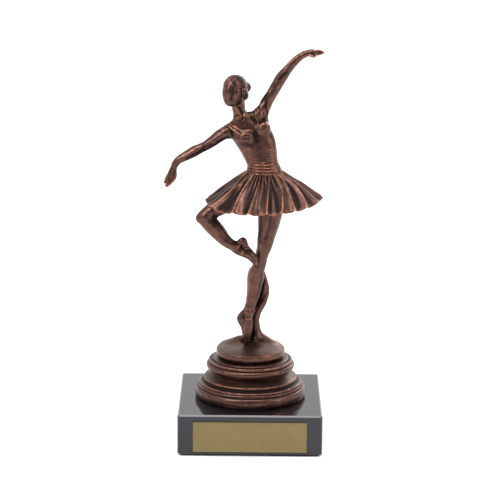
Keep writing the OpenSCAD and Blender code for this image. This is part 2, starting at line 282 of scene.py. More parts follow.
def vertex_normals(points, quads):
    a, b, c, d = (points[quads[:, i]] for i in range(4))
    face = np.cross(c - a, d - b)
    normals = np.zeros_like(points)
    for i in range(4):
        for axis in range(3):
            normals[:, axis] += np.bincount(quads[:, i], face[:, axis], len(points))
    return normals / np.maximum(np.linalg.norm(normals, axis=1), 1e-12)[:, None]


def curvature(points, quads, normals, rounds):
    """How convex the surface is at each point, in 1/mm, averaged over some rounds."""
    edges = np.vstack([quads[:, [i, (i + 1) % 4]] for i in range(4)])
    a, b = np.vstack([edges, edges[:, ::-1]]).T
    count = np.maximum(np.bincount(a, minlength=len(points)), 1)
    mean = np.stack([np.bincount(a, points[b, i], len(points)) for i in range(3)], 1)
    offset = points - mean / count[:, None]
    spread = np.bincount(a, ((points[b] - points[a]) ** 2).sum(1), len(points)) / count
    value = (offset * normals).sum(1) / np.maximum(spread, 1e-9)
    for _ in range(rounds):
        value = 0.5 * value + 0.5 * np.bincount(a, value[b], len(points)) / count
    return value


def build(name, points, quads, wear=None, recess=None, smooth=40):
    """A mesh object from points in millimetres, riding on the root body."""
    mesh = bpy.data.meshes.new(name)
    mesh.from_pydata((points * MM).tolist(), [], quads.tolist())
    mesh.validate()
    # wear and recess drive the patina; on the castings they also carry the painted shade of the dark
    # paths
    for label, values in (("wear", wear), ("recess", recess)):
        if values is not None:
            layer = mesh.attributes.new(label, "FLOAT", "POINT")
            layer.data.foreach_set("value", np.asarray(values, np.float32))
    obj = in_scene(name, mesh)
    mesh.shade_smooth()
    if smooth:
        mesh.set_sharp_from_angle(angle=np.radians(smooth))
    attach(obj, "root")
    return obj


def casting(name, field, replaced, dark=(), most_worn=0.48):
    """The field's surface as a bronze piece, with wear on its edges. dark lists paths on
    the front where the photograph is darkest, which get painted shade and painted dark
    reflection, partly thicker patina: rows of (x, height, radius, strength), the height
    being as seen from the front, like draw's."""
    points, quads = field.surface()
    wear = np.minimum(1.9 * field.bend(points, 0.45) - 0.1, most_worn)
    recess = -2.2 * field.bend(points, 1.3)
    seen = points[:, 2] + TILT * points[:, 1]
    # thick holds painted shade: darkening laid along the dark paths, partly thicker patina
    thick = np.zeros(len(points))
    place = np.stack([points[:, 0], seen], 1)
    for path in dark:
        for start, end in zip(np.array(path[:-1]), np.array(path[1:])):
            step = (end - start)[:2]
            share = np.clip((place - start[:2]) @ step / (step @ step), 0, 1)[:, None]
            row = start + share * (end - start)
            off = ((place - row[:, :2]) ** 2).sum(1)
            thick = np.maximum(thick, row[:, 3] * np.exp(-off / row[:, 2] ** 2))
    normals = vertex_normals(points, quads)
    # the painted shade is kept to surfaces facing the front, then taken off the wear and added to the
    # recess, both of which darken the colour
    thick *= step_up(-normals[:, 1], -0.1, 0.3)
    obj = build(name, points + TOE, quads, wear=wear - 0.8 * thick, recess=recess + 0.5 * thick)
    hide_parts(*replaced)
    return obj


# ---------------------------------------------------------------- the figure's castings


def standing_leg():
    f = Field([-9, -8, -0.6], [17, 8, 80], 0.2)
    leg = [
        (10, 0.1, 79, 5.6), (9.9, 0.1, 74, 5.9), (9.4, 0, 69, 6.1), (8.6, -0.2, 63, 5.55),
        (7.7, -0.5, 56.5, 4.4), (6.55, -0.8, 50.6, 3.65), (5.2, -0.9, 46.2, 3.3),
        (4.2, -0.9, 41.5, 3.25), (3.2, -0.6, 38, 3.45), (2.3, 0, 34, 3.8),
        (1.7, 0.2, 30, 3.65), (1.0, 0.3, 25.5, 3.2), (0, 0.2, 21, 2.65), (-0.9, 0.1, 17, 2.3),
        (-1.6, 0, 13.5, 2.4), (-1.7, 0, 10, 2.6), (-1.9, 0, 6, 2.4), (-1.9, 0, 2.4, 1.85),
        (-1.9, 0, 1.3, 1.5),
    ]
    f.join(f.bar(leg))
    heel = [(-1.5, 0, 17, 1.5), (-4.1, 0.2, 14.8, 1.8), (-4.9, 0.2, 12.8, 2.0),
            (-3.7, 0.1, 9.4, 1.5), (-2.6, 0, 6, 1.0)]
    f.join(f.bar(heel), 1.2)
    f.join(f.bar([(-0.4, 0.8, 24, 0.9), (-1.9, 0.6, 19, 0.7), (-3.6, 0.4, 15.6, 1.2)]), 1.4)
    f.join(f.blob([0.6, 2.0, 33], [2.5, 2.2, 6.2]), 1.6)  # calf, inner head
    f.join(f.blob([3.9, 1.8, 34.5], [2.1, 2.0, 5.4]), 1.4)  # calf, outer head
    f.join(f.blob([5.0, -2.6, 45.6], [1.8, 1.6, 2.4]), 1.4)  # kneecap
    f.join(f.blob([4.9, -2.6, 53], [1.8, 2.2, 6]), 2.0)  # muscle above the knee
    f.join(f.blob([7.9, -2.2, 55], [1.6, 2.0, 6]), 2.2)
    f.join(f.blob([7.6, -2.8, 64], [3.6, 3.0, 9]), 2.5)  # front of the thigh
    # the planes meet in long soft ridges down the thigh and the shin
    f.draw([(7.4, 72, 0.9), (7.2, 63.2, 0.9), (5.8, 57, 0.9), (4.4, 50.6, 0.8), (3.2, 46, 0.7)],
           -0.2)
    f.draw([(9.4, 66, 1.1), (8.6, 60, 1.2), (7.0, 54, 1.1)], 0.14)
    f.draw([(5.0, 68, 1.0), (4.4, 60, 1.0), (3.4, 53, 0.9)], 0.16)
    f.draw([(1.9, 38.6, 0.6), (0.2, 34.7, 0.6), (-0.7, 30.3, 0.6), (-1.3, 25.2, 0.5),
            (-2.2, 20.2, 0.45)], -0.18)  # shin
    f.draw([(3.4, 36, 1.0), (2.0, 31, 1.0), (0.8, 25, 0.8)], 0.12)
    f.press([(1.2, 3.9, 38, 0.8), (1.8, 4.1, 33, 0.7), (1.2, 3.6, 27, 0.7)], 0.3)
    f.join(f.blob([0.9, -0.6, 17.6], [0.9, 1.0, 1.3]), 0.8)  # ankle bones
    f.join(f.blob([-2.4, -1.4, 17.2], [0.8, 0.9, 1.2]), 0.8)
    shoe(f, [(-1.75, 0, 12.6), (-1.9, 0, 4)], [(-1.3, 0.1, 16.4), (-0.5, 0.2, 19.2)])
    part, (_, _, z) = f.window([-9, -9, -1], [6, 9, 4])
    f.d[part] = np.maximum(f.d[part], -z)  # the toe's flat tip
    # painted shade down both sides of the thigh, the side of the calf, the crease by the heel and the
    # side of the foot
    return casting("standing_leg_cast", f, ["standing_leg"], dark=[
        [(11.8, 68, 1.6, 0.15), (10.4, 60, 1.5, 0.22), (8.6, 54, 1.4, 0.22), (7.2, 49, 1.2, 0.22)],
        [(3.4, 66, 1.2, 0.2), (3.4, 58, 1.1, 0.25), (2.6, 50, 1.0, 0.25)],
        [(5.6, 36, 1.1, 0.5), (4.6, 30, 1.1, 0.5), (3.2, 25, 1.0, 0.45), (1.4, 20, 0.8, 0.4)],
        [(-4.2, 17.4, 0.5, 0.35), (-3.7, 15.2, 0.6, 0.45), (-3.3, 12.6, 0.5, 0.35)],
        [(-0.2, 11, 0.8, 0.3), (-0.2, 4, 0.9, 0.35)],
    ])


def shoe(f, vamp, ankle):
    """The edge of a pointe shoe across the foot, and two ribbons round the ankle."""
    turn = np.linspace(0, 2 * np.pi, 21)
    reach = 2.75
    dip = 3.2
    along = unit(np.subtract(vamp[1], vamp[0]))
    side = unit(np.cross(along, [0, 1, 0]))
    front = np.cross(side, along)
    middle = np.array(vamp[0])
    # the opening's edge: high at the heel's side, dipping to the vamp at the front
    edge = [
        (*(middle + reach * 1.1 * np.cos(a) * side + reach * 0.92 * np.sin(a) * front
           - along * dip * 0.5 * np.cos(a) * 0.2 - along * (1.6 * abs(np.sin(a)) - 0.8)), 0.28)
        for a in turn
    ]
    f.press(edge, -0.2, steps=2)
    low, high = (np.array(p) for p in ankle)
    up = unit(high - low)
    across = unit(np.cross(up, [0, 1, 0]))
    out = np.cross(across, up)
    for tilt, level in ((0.9, 0.2), (-0.9, 0.35), (0.15, 0.95)):
        centre = low + (high - low) * level
        ring = [
            (*(centre + 2.35 * np.cos(a) * across + 2.35 * np.sin(a) * out
               + up * tilt * np.sin(a + 0.6)), 0.42)
            for a in turn
        ]
        f.press(ring, -0.24, steps=2)


def raised_leg():
    f = Field([-29, -13, 35.5], [6, 6, 83], 0.2)
    thigh = [(4, -0.4, 77.6, 5.2), (-2, -1, 75.8, 5.2), (-7, -1.7, 73.8, 4.95),
             (-12, -2.5, 71.8, 4.6), (-17, -3.2, 69.4, 4.2), (-20.6, -3.6, 67.2, 3.9),
             (-22.7, -3.8, 65.2, 3.4)]
    shin = [(-22.8, -3.8, 64.9, 3.7), (-20.8, -3.8, 62.5, 4.0), (-18.1, -4, 59.6, 3.95),
            (-14.5, -4.3, 55.6, 3.4), (-11.6, -4.7, 53.0, 2.95), (-9.0, -5, 51.2, 2.5),
            (-6.6, -5.4, 49.2, 2.35), (-3.4, -5.8, 48.0, 2.35), (-1, -6.1, 46.9, 2.2),
            (0.7, -6.2, 45.2, 1.95), (1.7, -6.1, 43.6, 1.5), (2.0, -6, 42.5, 1.1)]
    heel = [(-7.6, -4.8, 50.8, 1.4), (-5.5, -4.9, 52.7, 1.75), (-4, -5, 53.6, 1.85),
            (-2.9, -5.2, 51, 1.6), (-0.4, -5.6, 48.6, 1.1), (1.0, -5.9, 47, 0.9)]
    f.join(f.bar(thigh))
    f.join(f.bar(shin), 1.2)
    f.join(f.bar(heel), 1.1)
    f.join(f.blob([-24.9, -4.5, 64.6], [2.2, 1.9, 2.1]), 1.4)  # kneecap
    slant = [unit([1, 0, -1]), [0, 1, 0], unit([1, 0, 1])]
    f.join(f.blob([-16.4, -2.8, 59.4], [5.6, 2.5, 2.4], slant), 1.6)  # calf
    f.join(f.blob([-12, -4.2, 72.4], [8, 3, 3.2], [unit([-0.93, -0.12, -0.35]), [0, 1, 0],
                                                     unit([-0.35, 0, 0.93])]), 2)
    f.press([(-24, -6.4, 62.6, 0.7), (-20.6, -7.3, 59, 0.6), (-15, -7.2, 54, 0.5),
             (-10, -7.1, 50.4, 0.4)], -0.16)  # shin
    f.press([(-20, -7.2, 61.6, 0.9), (-15.4, -7.4, 57, 0.8), (-11, -7.2, 53.2, 0.7)], 0.15)
    f.press([(-18.4, -6.6, 66, 0.9), (-16.6, -5.8, 64.4, 0.9)], 0.3)
    f.join(f.blob([-8.0, -7.0, 51.4], [1.1, 0.8, 1.0]), 0.8)  # ankle bone
    shoe(f, [(-3.4, -5.8, 48.0), (0.7, -6.2, 45.2)], [(-7.2, -5.2, 50.2), (-9.6, -4.9, 52)])
    # painted shade in the knee pit, under the shin and at the ankle's crease, and a painted shadow of
    # the skirt across the top of the thigh
    return casting("raised_leg_cast", f, ["raised_leg"], dark=[
        [(-18.6, 65.8, 1.3, 0.5), (-15.6, 62.4, 1.0, 0.45), (-11.6, 57.6, 0.9, 0.4)],
        [(-12.9, 55.6, 1.0, 0.3), (-11, 52.6, 0.9, 0.35), (-8.3, 50.6, 0.8, 0.4)],
        [(-24.6, 60.4, 0.9, 0.2), (-19.6, 54.6, 0.9, 0.3), (-14, 50.2, 0.9, 0.35)],
        [(-16, 70.4, 1.2, 0.4), (-8, 71, 1.6, 0.5), (0, 71, 1.8, 0.5)],
    ])


def pelvis():
    f = Field([-6, -9, 68], [18, 9, 88], 0.25)
    f.join(f.blob([5.8, 0.1, 79.5], [8.9, 6.9, 8.6]))
    f.join(f.blob([2.4, 3.2, 77.5], [4.6, 4.2, 4.8]), 1.5)
    f.join(f.blob([9.6, 3.2, 77.5], [4.6, 4.2, 4.8]), 1.5)
    f.press([(5.9, 7.4, 82, 0.8), (5.9, 7.8, 77, 0.8), (5.6, 5.6, 72.6, 0.8)], 0.8)
    for x, lean in ((1.2, -1), (10.4, 1)):
        brief = [(x + lean * 6, -2, 82, 0.5), (x + lean * 2.6, -5.6, 77, 0.5),
                 (5.8 + lean * 1.6, -5.4, 72.4, 0.5)]
        f.press(brief, -0.3)
    part, (_, _, z) = f.window([-6, -9, 84], [18, 9, 88])
    f.d[part] = np.maximum(f.d[part], z - 86.2)  # the flat top, under the waist
    return casting("pelvis_cast", f, ["pelvis"])


UP_BODY = unit([-0.34, 0, 0.94])  # the torso leans this way
OVER_BODY = unit([0.94, 0, 0.34])
WAIST_X, WAIST_Z = 5.9, 87.4  # where the lean starts
NECK_UP = 29.6  # how far up the lean the torso ends


def upper_body():
    """Torso, neck and both arms in one field, so that they flow into each other."""
    f = Field([-44, -9.5, 79.5], [35.5, 9, 148], 0.19)
    # torso, by slices across its lean: up, centre, half width, half depth
    slices = smooth_rows([
        (-3, -0.1, 8.3, 6.3), (0, 0.05, 8.1, 6.1), (3.1, 0.45, 7.5, 5.6), (7.3, 1.05, 8.0, 5.6),
        (12.1, 1.25, 8.8, 5.8), (17.3, 0.65, 9.3, 5.7), (21.7, -0.8, 8.8, 5.2),
        (24.6, -1.7, 7.2, 4.4), (27.2, -1.9, 5.0, 3.6), (NECK_UP, -1.5, 3.4, 2.9),
    ], 6)
    part, (x, y, z) = f.window([-16, -9, 80], [16, 9, 121])
    up = (x - WAIST_X) * UP_BODY[0] + (z - WAIST_Z) * UP_BODY[2]
    over = (x - WAIST_X) * OVER_BODY[0] + (z - WAIST_Z) * OVER_BODY[2]
    middle, wide, deep = (np.interp(up, slices[:, 0], slices[:, i]) for i in (1, 2, 3))
    # a rounded box section reads as a rib cage better than an ellipse
    power = 2.3
    section = np.abs((over - middle) / wide) ** power + np.abs(y / deep) ** power
    section = section ** (1 / power)
    value = (section - 1) * np.minimum(wide, deep)
    value = np.maximum(value, up - NECK_UP)
    f.join((part, np.minimum(value, FAR).astype(np.float32)))
    # shoulders and neck
    f.join(f.bar([(-12.4, 0.3, 106.6, 2.8), (-9, 0.6, 109.4, 2.5), (-5.6, 0.8, 112.4, 2.9)]), 1.4)
    f.join(f.blob([-10.0, 0, 105.1], [2.4, 2.4, 1.7]), 0.9)  # under the arm
    f.join(f.bar([(3.6, 0.5, 115.4, 2.9), (0, 0.8, 114.2, 2.6), (-4.6, 0.8, 113.2, 2.9)]), 1.4)
    f.join(f.bar([(-5.2, 0.6, 111.5, 3.7), (-6.1, 0.4, 115.4, 3.3), (-6.8, 0.3, 118.6, 3.2),
                  (-7.1, 0.4, 122, 3.2)]), 1.3)
    f.join(f.bar([(6.0, 0.4, 118.4, 1.6), (5.8, 0.4, 115, 1.7), (5.8, 0.4, 111, 2.1)]), 0.8)
    # bust
    f.join(f.blob([-3.2, -3.6, 104.4], [3.3, 3.0, 2.9]), 2.2)
    f.join(f.blob([5.4, -3.4, 109.4], [3.2, 2.9, 2.9]), 2.2)
    f.draw([(-5.2, 104.3, 0.7), (-3.6, 105.2, 0.8), (-1.2, 104.5, 0.7)], -0.22)
    f.draw([(-4.2, 103.1, 0.8), (-2.9, 103.2, 0.9), (-2.0, 102.8, 0.8)], 0.26)
    f.draw([(3.6, 108.8, 0.7), (4.9, 110.3, 0.8), (6.1, 110.6, 0.8), (7.0, 109.5, 0.7)], -0.22)
    f.draw([(4.9, 108.1, 0.8), (5.7, 108.3, 0.9), (6.4, 107.8, 0.8)], 0.26)
    f.draw([(2.9, 107.8, 0.7), (3.5, 105.8, 0.7)], -0.12)
    # cloth drawn in between and under the bust, and down the middle
    f.draw([(1.2, 106.4, 0.7), (1.6, 104.4, 0.9), (2.4, 102.0, 1.1)], 0.1)
    f.draw([(-0.2, 105.6, 0.5), (0.4, 104.2, 0.5)], 0.1)
    f.draw([(-5.4, 100.8, 1.2), (-2.6, 100.0, 1.4), (0, 99.4, 1.4)], 0.1)
    f.draw([(10.0, 105.4, 1.2), (8.4, 103.0, 1.3), (6.4, 102.0, 1.4)], 0.1)
    # the pit of the neck, and the collar bones
    f.draw([(-4.85, 114.2, 0.6), (-4.8, 113.6, 0.8), (-4.8, 112.7, 0.6)], 0.55)
    f.draw([(-5.8, 113.6, 0.6), (-8.0, 112.8, 0.6), (-10.6, 111.6, 0.6)], -0.2)
    f.draw([(-3.8, 114.2, 0.6), (-2.0, 114.6, 0.6), (0.2, 115.2, 0.6)], -0.22)
    f.draw([(-6.9, 114.8, 0.9), (-8.4, 113.8, 0.9)], 0.12)
    f.draw([(-3.0, 117.6, 0.9), (-2.0, 116.0, 0.9), (-0.8, 116.8, 0.8)], 0.5)
    # neck tendons, a V from behind the ears to the pit of the neck
    f.draw([(-9.2, 121.2, 0.6), (-8.8, 120.2, 0.6), (-7.8, 117.7, 0.6), (-6.4, 115.4, 0.55),
            (-5.2, 114.0, 0.5)], -0.42)
    f.draw([(-4.9, 122.2, 0.6), (-4.7, 119.1, 0.6), (-4.2, 116.5, 0.55), (-4.2, 114.6, 0.5)], -0.5)
    f.draw([(-6.9, 121.0, 0.8), (-6.5, 118.6, 0.75), (-5.7, 116.2, 0.6), (-4.9, 114.8, 0.4)], 0.42)
    # back: spine and shoulder blades
    spine = [(-6.2, 3.9, 116, 0.8), (-3.6, 5.2, 111, 1.0), (0.2, 5.9, 104, 1.1),
             (3.4, 6, 97, 1.1), (5.2, 5.8, 90, 1.1)]
    f.join(f.blob([-7.4, 3.6, 107.0], [3.0, 1.6, 4.0]), 1.4)
    f.join(f.blob([1.6, 3.8, 110.6], [3.0, 1.6, 4.0]), 1.4)
    f.press(spine, 0.75)
    arm_right(f)
    arm_left(f)
    garment(f)
    return f


def arm_right(f):
    arm = [(-10.6, 0.4, 107.4, 3.0), (-13, 0.1, 106.2, 2.95), (-15.8, -0.3, 104.7, 3.0),
           (-19.2, -1, 102.1, 2.65), (-22.7, -1.8, 99.9, 2.35), (-25.2, -2.4, 98.8, 2.4),
           (-28, -3, 97.4, 2.6), (-31.8, -3.6, 95.4, 2.35), (-35.3, -4, 93.5, 1.95),
           (-37.3, -4.2, 91.4, 1.7)]
    f.join(f.bar(arm), 1.3)
    slant = [unit([-0.82, -0.2, -0.53]), [0, 1, 0], unit([-0.53, 0, 0.82])]
    f.join(f.blob([-14.6, -0.8, 105.4], [3.4, 2.4, 2.2], slant), 1.0)  # deltoid
    f.join(f.blob([-18.8, -1.6, 102.8], [3.4, 1.9, 1.7], slant), 1.2)  # upper arm
    # the crease where the arm meets the chest, and muscle edges
    f.draw([(-12.7, 110.0, 0.5), (-11.4, 108.2, 0.6), (-10.4, 106.4, 0.7), (-9.4, 104.6, 0.8)], 0.16)
    f.draw([(-14.4, 107.8, 0.7), (-12.6, 107.0, 0.7), (-11.6, 105.4, 0.7)], -0.14)
    f.press([(-17.2, -2.4, 105.2, 0.6), (-17.0, -3.3, 103.2, 0.6), (-16.2, -3.2, 101.6, 0.6)], 0.14)
    f.join(f.blob([-28, -3.4, 97.7], [3.4, 1.9, 2.0], slant), 1.2)  # forearm
    f.press([(-23.6, -3.8, 101.2, 0.6), (-23.4, -4.3, 99.2, 0.6), (-22.6, -3.8, 97.8, 0.5)], 0.12)
    f.press([(-14.6, -3.4, 106.6, 0.6), (-19, -3.7, 103.4, 0.6), (-24, -4.8, 100.2, 0.5),
             (-30, -5.8, 97, 0.5), (-35, -5.7, 93.8, 0.4)], -0.14)
    f.press([(-20, -3.8, 101.4, 0.8), (-26, -5.2, 97.8, 0.8), (-32, -5.8, 94.6, 0.6)], 0.18)
    flat = [0.1, 1, 0]
    f.join(f.bar([(-36.8, -4.2, 91.6, 1.5, 0.95), (-37.8, -4.3, 89.8, 1.6, 0.8),
                  (-38.5, -4.4, 87.4, 2.0, 0.6), (-39.2, -4.5, 85.4, 2.0, 0.55)], flat), 0.6)
    knuckles = [((-37.9, -4.5, 85.8), (-38.6, -5.2, 83.4), (-39.7, -5.2, 81.6)),
                ((-38.8, -4.6, 85), (-39.7, -5.2, 82.6), (-40.8, -5.0, 80.4)),
                ((-39.8, -4.6, 85.2), (-40.8, -5.1, 82.8), (-41.6, -4.8, 80.6)),
                ((-40.7, -4.6, 85.8), (-41.7, -4.9, 83.8), (-42.3, -4.6, 82.2))]
    for base, mid, tip in knuckles:
        finger = [(*base, 0.78), (*mid, 0.66), (*tip, 0.5)]
        f.join(f.bar(finger), 0.25)
    f.join(f.bar([(-37.4, -4.8, 88.8, 0.8), (-36.9, -5.5, 86.4, 0.7), (-37.4, -5.9, 84.4, 0.6),
                  (-38.2, -6.0, 83, 0.42)]), 0.3)


def arm_left(f):
    arm = [(2.6, 0.5, 114, 3.1), (4.8, 0.5, 117.4, 2.95), (7.1, 0.5, 121.6, 2.75),
           (9.6, 0.4, 126, 2.7), (12.0, 0.3, 130.3, 2.7), (14.2, 0.2, 133.8, 2.6),
           (16.8, 0, 137.4, 2.2), (19.9, -0.2, 141, 1.95), (22.5, -0.4, 143.4, 1.75),
           (24.6, -0.5, 144.7, 1.5)]
    f.join(f.bar(arm), 1.3)
    slant = [unit([0.46, 0, 0.89]), [0, 1, 0], unit([0.89, 0, -0.46])]
    f.join(f.blob([5.8, -0.4, 118.6], [3.4, 2.5, 2.5], slant), 1.2)
    f.join(f.blob([8.6, -1.2, 124.8], [3.6, 1.7, 1.7], slant), 1.2)
    # a long ridge up the front of the shoulder and arm, with hollows on both sides
    f.draw([(4.6, 113.8, 0.6), (4.1, 116.8, 0.65), (3.8, 119.3, 0.65), (4.2, 122.4, 0.6),
            (6.6, 125.4, 0.6), (9.2, 130.0, 0.55), (11.6, 134.6, 0.5), (15.6, 138.6, 0.45),
            (21.4, 143.4, 0.4)], -0.28)
    f.draw([(5.2, 115.2, 0.6), (5.5, 118.4, 0.7), (6.6, 121.8, 0.7), (9.2, 126.6, 0.7)], 0.16)
    f.draw([(6.2, 119.4, 0.55), (6.9, 116.3, 0.55), (7.6, 113.2, 0.55)], 0.2)
    f.draw([(7.3, 119.6, 0.4), (7.7, 116.6, 0.4), (8.0, 113.6, 0.4)], -0.1)
    f.draw([(2.9, 118.6, 0.5), (3.2, 116.4, 0.5), (3.8, 114.0, 0.5)], 0.14)
    f.join(f.blob([14.2, 0.8, 133.4], [1.6, 1.6, 1.6]), 1.0)  # elbow
    f.press([(12.2, -2.2, 132.6, 0.7), (14.2, -2.3, 134.6, 0.7), (16.6, -1.8, 136.2, 0.6)], 0.25)
    f.press([(10.6, -2.2, 126.6, 0.7), (13.2, -2.2, 131.0, 0.7)], -0.2)
    flat = [0.1, 1, -0.35]
    f.join(f.bar([(24.2, -0.5, 144.5, 1.5, 0.95), (26, -0.6, 145.2, 1.55, 0.8),
                  (27.6, -0.7, 145.4, 1.75, 0.65), (29.2, -0.7, 145.4, 1.65, 0.6)], flat), 0.6)
    knuckles = [((28.6, -0.9, 146.1), (31.2, -1.3, 146.5), (33.2, -1.2, 146.1)),
                ((28.8, -0.9, 145.5), (31.6, -1.5, 145.9), (33.7, -1.4, 145.5)),
                ((28.8, -0.8, 145.0), (31.2, -1.6, 145.4), (32.6, -1.6, 145.1)),
                ((28.5, -0.6, 144.6), (30.2, -1.6, 144.9), (31.3, -1.7, 144.7))]
    for base, mid, tip in knuckles:
        finger = [(*base, 0.72), (*mid, 0.62), (*tip, 0.46)]
        f.join(f.bar(finger), 0.25)
    f.join(f.bar([(26.4, -1.4, 144.6, 0.7), (28, -2.2, 144.1, 0.55), (29.6, -2.6, 143.8, 0.42)]), 0.3)


def garment(f):
    """The leotard: its neckline, its straps and its folds."""
    f.draw([(-12.2, 111.2, 0.42), (-11.7, 110.8, 0.45), (-9.7, 109.5, 0.45), (-7.5, 107.9, 0.45),
            (-5.3, 106.7, 0.5), (-3.1, 106.5, 0.5), (-1.2, 106.7, 0.45), (0.2, 106.3, 0.4)], -0.26)
    f.draw([(-13.0, 110.2, 0.42), (-12.5, 109.8, 0.42), (-10.5, 108.4, 0.45), (-8.6, 106.7, 0.45),
            (-6.7, 105.3, 0.45), (-5.4, 104.6, 0.45)], -0.22)
    f.draw([(-12.2, 110.4, 0.34), (-10.1, 109.0, 0.36), (-8.0, 107.3, 0.36),
            (-6.0, 105.9, 0.34)], 0.1)
    f.draw([(-10.8, 111.1, 0.5), (-8.6, 109.8, 0.5), (-6.4, 108.2, 0.5), (-3.1, 107.9, 0.45),
            (-0.4, 108.0, 0.5)], 0.08)
    f.draw([(-12.4, 108.9, 0.45), (-10.2, 107.2, 0.5), (-8.4, 105.4, 0.5)], 0.1)
    f.draw([(0.9, 120.4, 0.42), (1.2, 119.1, 0.42), (1.3, 116.8, 0.45), (1.9, 114.6, 0.45),
            (2.6, 112.0, 0.45), (2.4, 109.6, 0.45)], -0.28)
    f.draw([(1.9, 120.4, 0.42), (2.0, 119.3, 0.42), (2.4, 117.1, 0.45), (3.1, 114.6, 0.45),
            (3.8, 112.4, 0.45)], -0.24)
    f.draw([(1.6, 119.2, 0.32), (1.8, 117.0, 0.34), (2.5, 114.6, 0.34), (3.2, 112.4, 0.32)], 0.14)
    f.draw([(0.2, 118.6, 0.5), (0.3, 116.0, 0.5), (0.8, 113.4, 0.5), (1.0, 109.5, 0.5),
            (0.7, 107.8, 0.45)], 0.05)
    # folds drawn in to the waist, deeper on the left
    for i in range(7):
        h = 89.6 + 1.3 * i
        f.draw([(12.9 - 0.15 * i, h + 0.5, 0.3), (10.6, h, 0.34), (7.2 + 0.1 * i, h + 0.1, 0.28)],
               -0.32)
    for i in range(1, 6):
        h = 89.4 + 1.3 * i
        f.draw([(-1.6 - 0.5 * i, h + 0.5, 0.28), (0.6 - 0.4 * i, h, 0.3),
                (3.6 - 0.3 * i, h - 0.1, 0.26)], -0.2)


HEAD = np.array([-8.9, 0.2, 127.0])
TURN = np.radians(33)
FACE = np.array([-np.sin(TURN), -np.cos(TURN), 0.0])
LEFT = np.array([np.cos(TURN), -np.sin(TURN), 0.0])
CROWN = np.array([0.0, 0.0, 1.0])


def head_point(left, face, crown):
    """A point by its place to the head's left, forward and up."""
    return HEAD + left * LEFT + face * FACE + crown * CROWN


def head():
    f = Field([-19, -10, 117], [1.5, 10.5, 136.5], 0.12)
    axes = [LEFT, FACE, CROWN]
    f.join(f.blob(head_point(0, -0.9, 1.5), [5.3, 6.3, 5.5], axes))
    f.join(f.blob([-4.9, 2.2, 124.3], [2.7, 2.6, 3.0]), 1.4)  # nape
    f.join(f.blob(head_point(0.1, 2.3, -1.2), [4.65, 4.5, 6.1], axes), 1.2)
    f.join(f.blob(head_point(0.1, 3.7, -5.0), [2.4, 2.2, 2.2], axes), 2.0)  # chin
    jaw = [(*head_point(4.2, -0.4, -2.2), 1.0), (*head_point(3.7, 0.8, -4.1), 1.0),
           (*head_point(2.1, 3.0, -5.8), 1.1)]
    f.join(f.bar(jaw), 1.6)
    f.join(f.blob(head_point(3.2, 3.0, -0.2), [1.6, 1.5, 1.9], axes), 1.6)  # cheek
    ear(f, 1)
    ear(f, -1)
    # an otherwise blank face: a bright plane, a soft ridge, and one long hollow beside it
    f.draw([(-9.6, 131.4, 1.1), (-9.3, 128.2, 1.6), (-9.9, 124.8, 1.5), (-10.4, 122.4, 1.2)], 0.26)
    f.draw([(-11.3, 132.2, 0.7), (-11.5, 128.6, 0.8), (-11.8, 125.2, 0.8),
            (-11.7, 122.2, 0.7)], -0.22)
    f.draw([(-7.2, 129.4, 0.9), (-6.9, 126.9, 1.0), (-7.6, 124.2, 0.9)], -0.16)  # cheek
    f.draw([(-9.9, 132.5, 0.8), (-8.6, 132.0, 0.8), (-7.4, 130.4, 0.8)], -0.14)  # brow
    f.press([(*head_point(4.1, 0.2, -5.4), 0.9), (*head_point(2.6, 2.2, -7.2), 0.9)], 0.5)
    # neck
    f.join(f.bar([(-6.3, 0.3, 117.4, 3.15), (-7.0, 0.4, 120.8, 3.2), (-7.4, 0.8, 124, 3.4)]), 0.7)
    hair(f)
    part, (_, _, z) = f.window([-19, -10, 117], [1, 10, 124])
    f.d[part] = np.maximum(f.d[part], 119.6 - z)  # the joint with the neck
    # painted shade on the face's side plane and a painted shadow under the jaw; the back of the head
    # and the nape are made darker too
    return casting("head_cast", f, ["head"], dark=[
        [(-9.5, 130.6, 1.3, 0.12), (-9.2, 128.0, 1.7, 0.2), (-9.5, 124.8, 1.6, 0.22),
         (-10.2, 122.4, 1.0, 0.15)],
        [(-8.4, 134.4, 1.4, 0.35), (-6.0, 133.2, 1.4, 0.4), (-4.6, 131.0, 1.2, 0.4),
         (-3.8, 128.6, 1.0, 0.4)],
        [(-3.6, 125, 1.3, 0.6), (-4.6, 122.8, 1.2, 0.7)],
        [(-10.4, 119.6, 0.8, 0.5), (-8.2, 119.6, 1.1, 0.7), (-5.6, 121.6, 1.0, 0.7)],
    ])


def ear(f, side):
    """A C-shaped rim round a hollow, and a lobe."""
    rim = []
    for a in np.radians([-70, -30, 20, 60, 100, 140, 180, 220]):
        rim.append((*head_point(side * 5.25, 0.2 - 0.85 * np.cos(a), -0.4 + 1.4 * np.sin(a)), 0.36))
    f.join(f.blob(head_point(side * 4.9, 0.2, -0.4), [0.7, 1.0, 1.5], [LEFT, FACE, CROWN]), 0.3)
    f.join(f.bar(rim, steps=3), 0.15)
    f.press([(*head_point(side * 5.7, 0.3, 0.2), 0.45),
             (*head_point(side * 5.7, 0.3, -0.8), 0.4)], 0.6)


def hair(f):
    """A cap of hair combed back to the bun, a little proud of the skin."""
    part, (x, y, z) = f.window([-19, -10, 119], [1.5, 10.5, 136.5])
    v = [x - HEAD[0], y - HEAD[1], z - HEAD[2]]
    left, face, crown = (v[0] * a[0] + v[1] * a[1] + v[2] * a[2] for a in (LEFT, FACE, CROWN))
    hairline = np.interp(crown, [-6, -4.5, -1.8, 0.4, 1.6, 3.0, 4.2, 5.5, 7],
                         [-3.4, -2.8, -1.8, -1.0, 2.0, 3.4, 3.9, 4.2, 4.4])
    cap = step_up(hairline - face, -0.15, 0.25) * step_up(crown, -5.2, -4.4)
    angle = np.arctan2(crown - 0.6, left)
    comb = np.sin(angle * 41 + 1.6 * np.sin(angle * 5) + 0.5 * face)
    comb += 0.6 * np.sin(angle * 67 + 0.7 * face + 2)
    f.d[part] -= (cap * (0.2 + 0.13 * comb)).astype(np.float32)


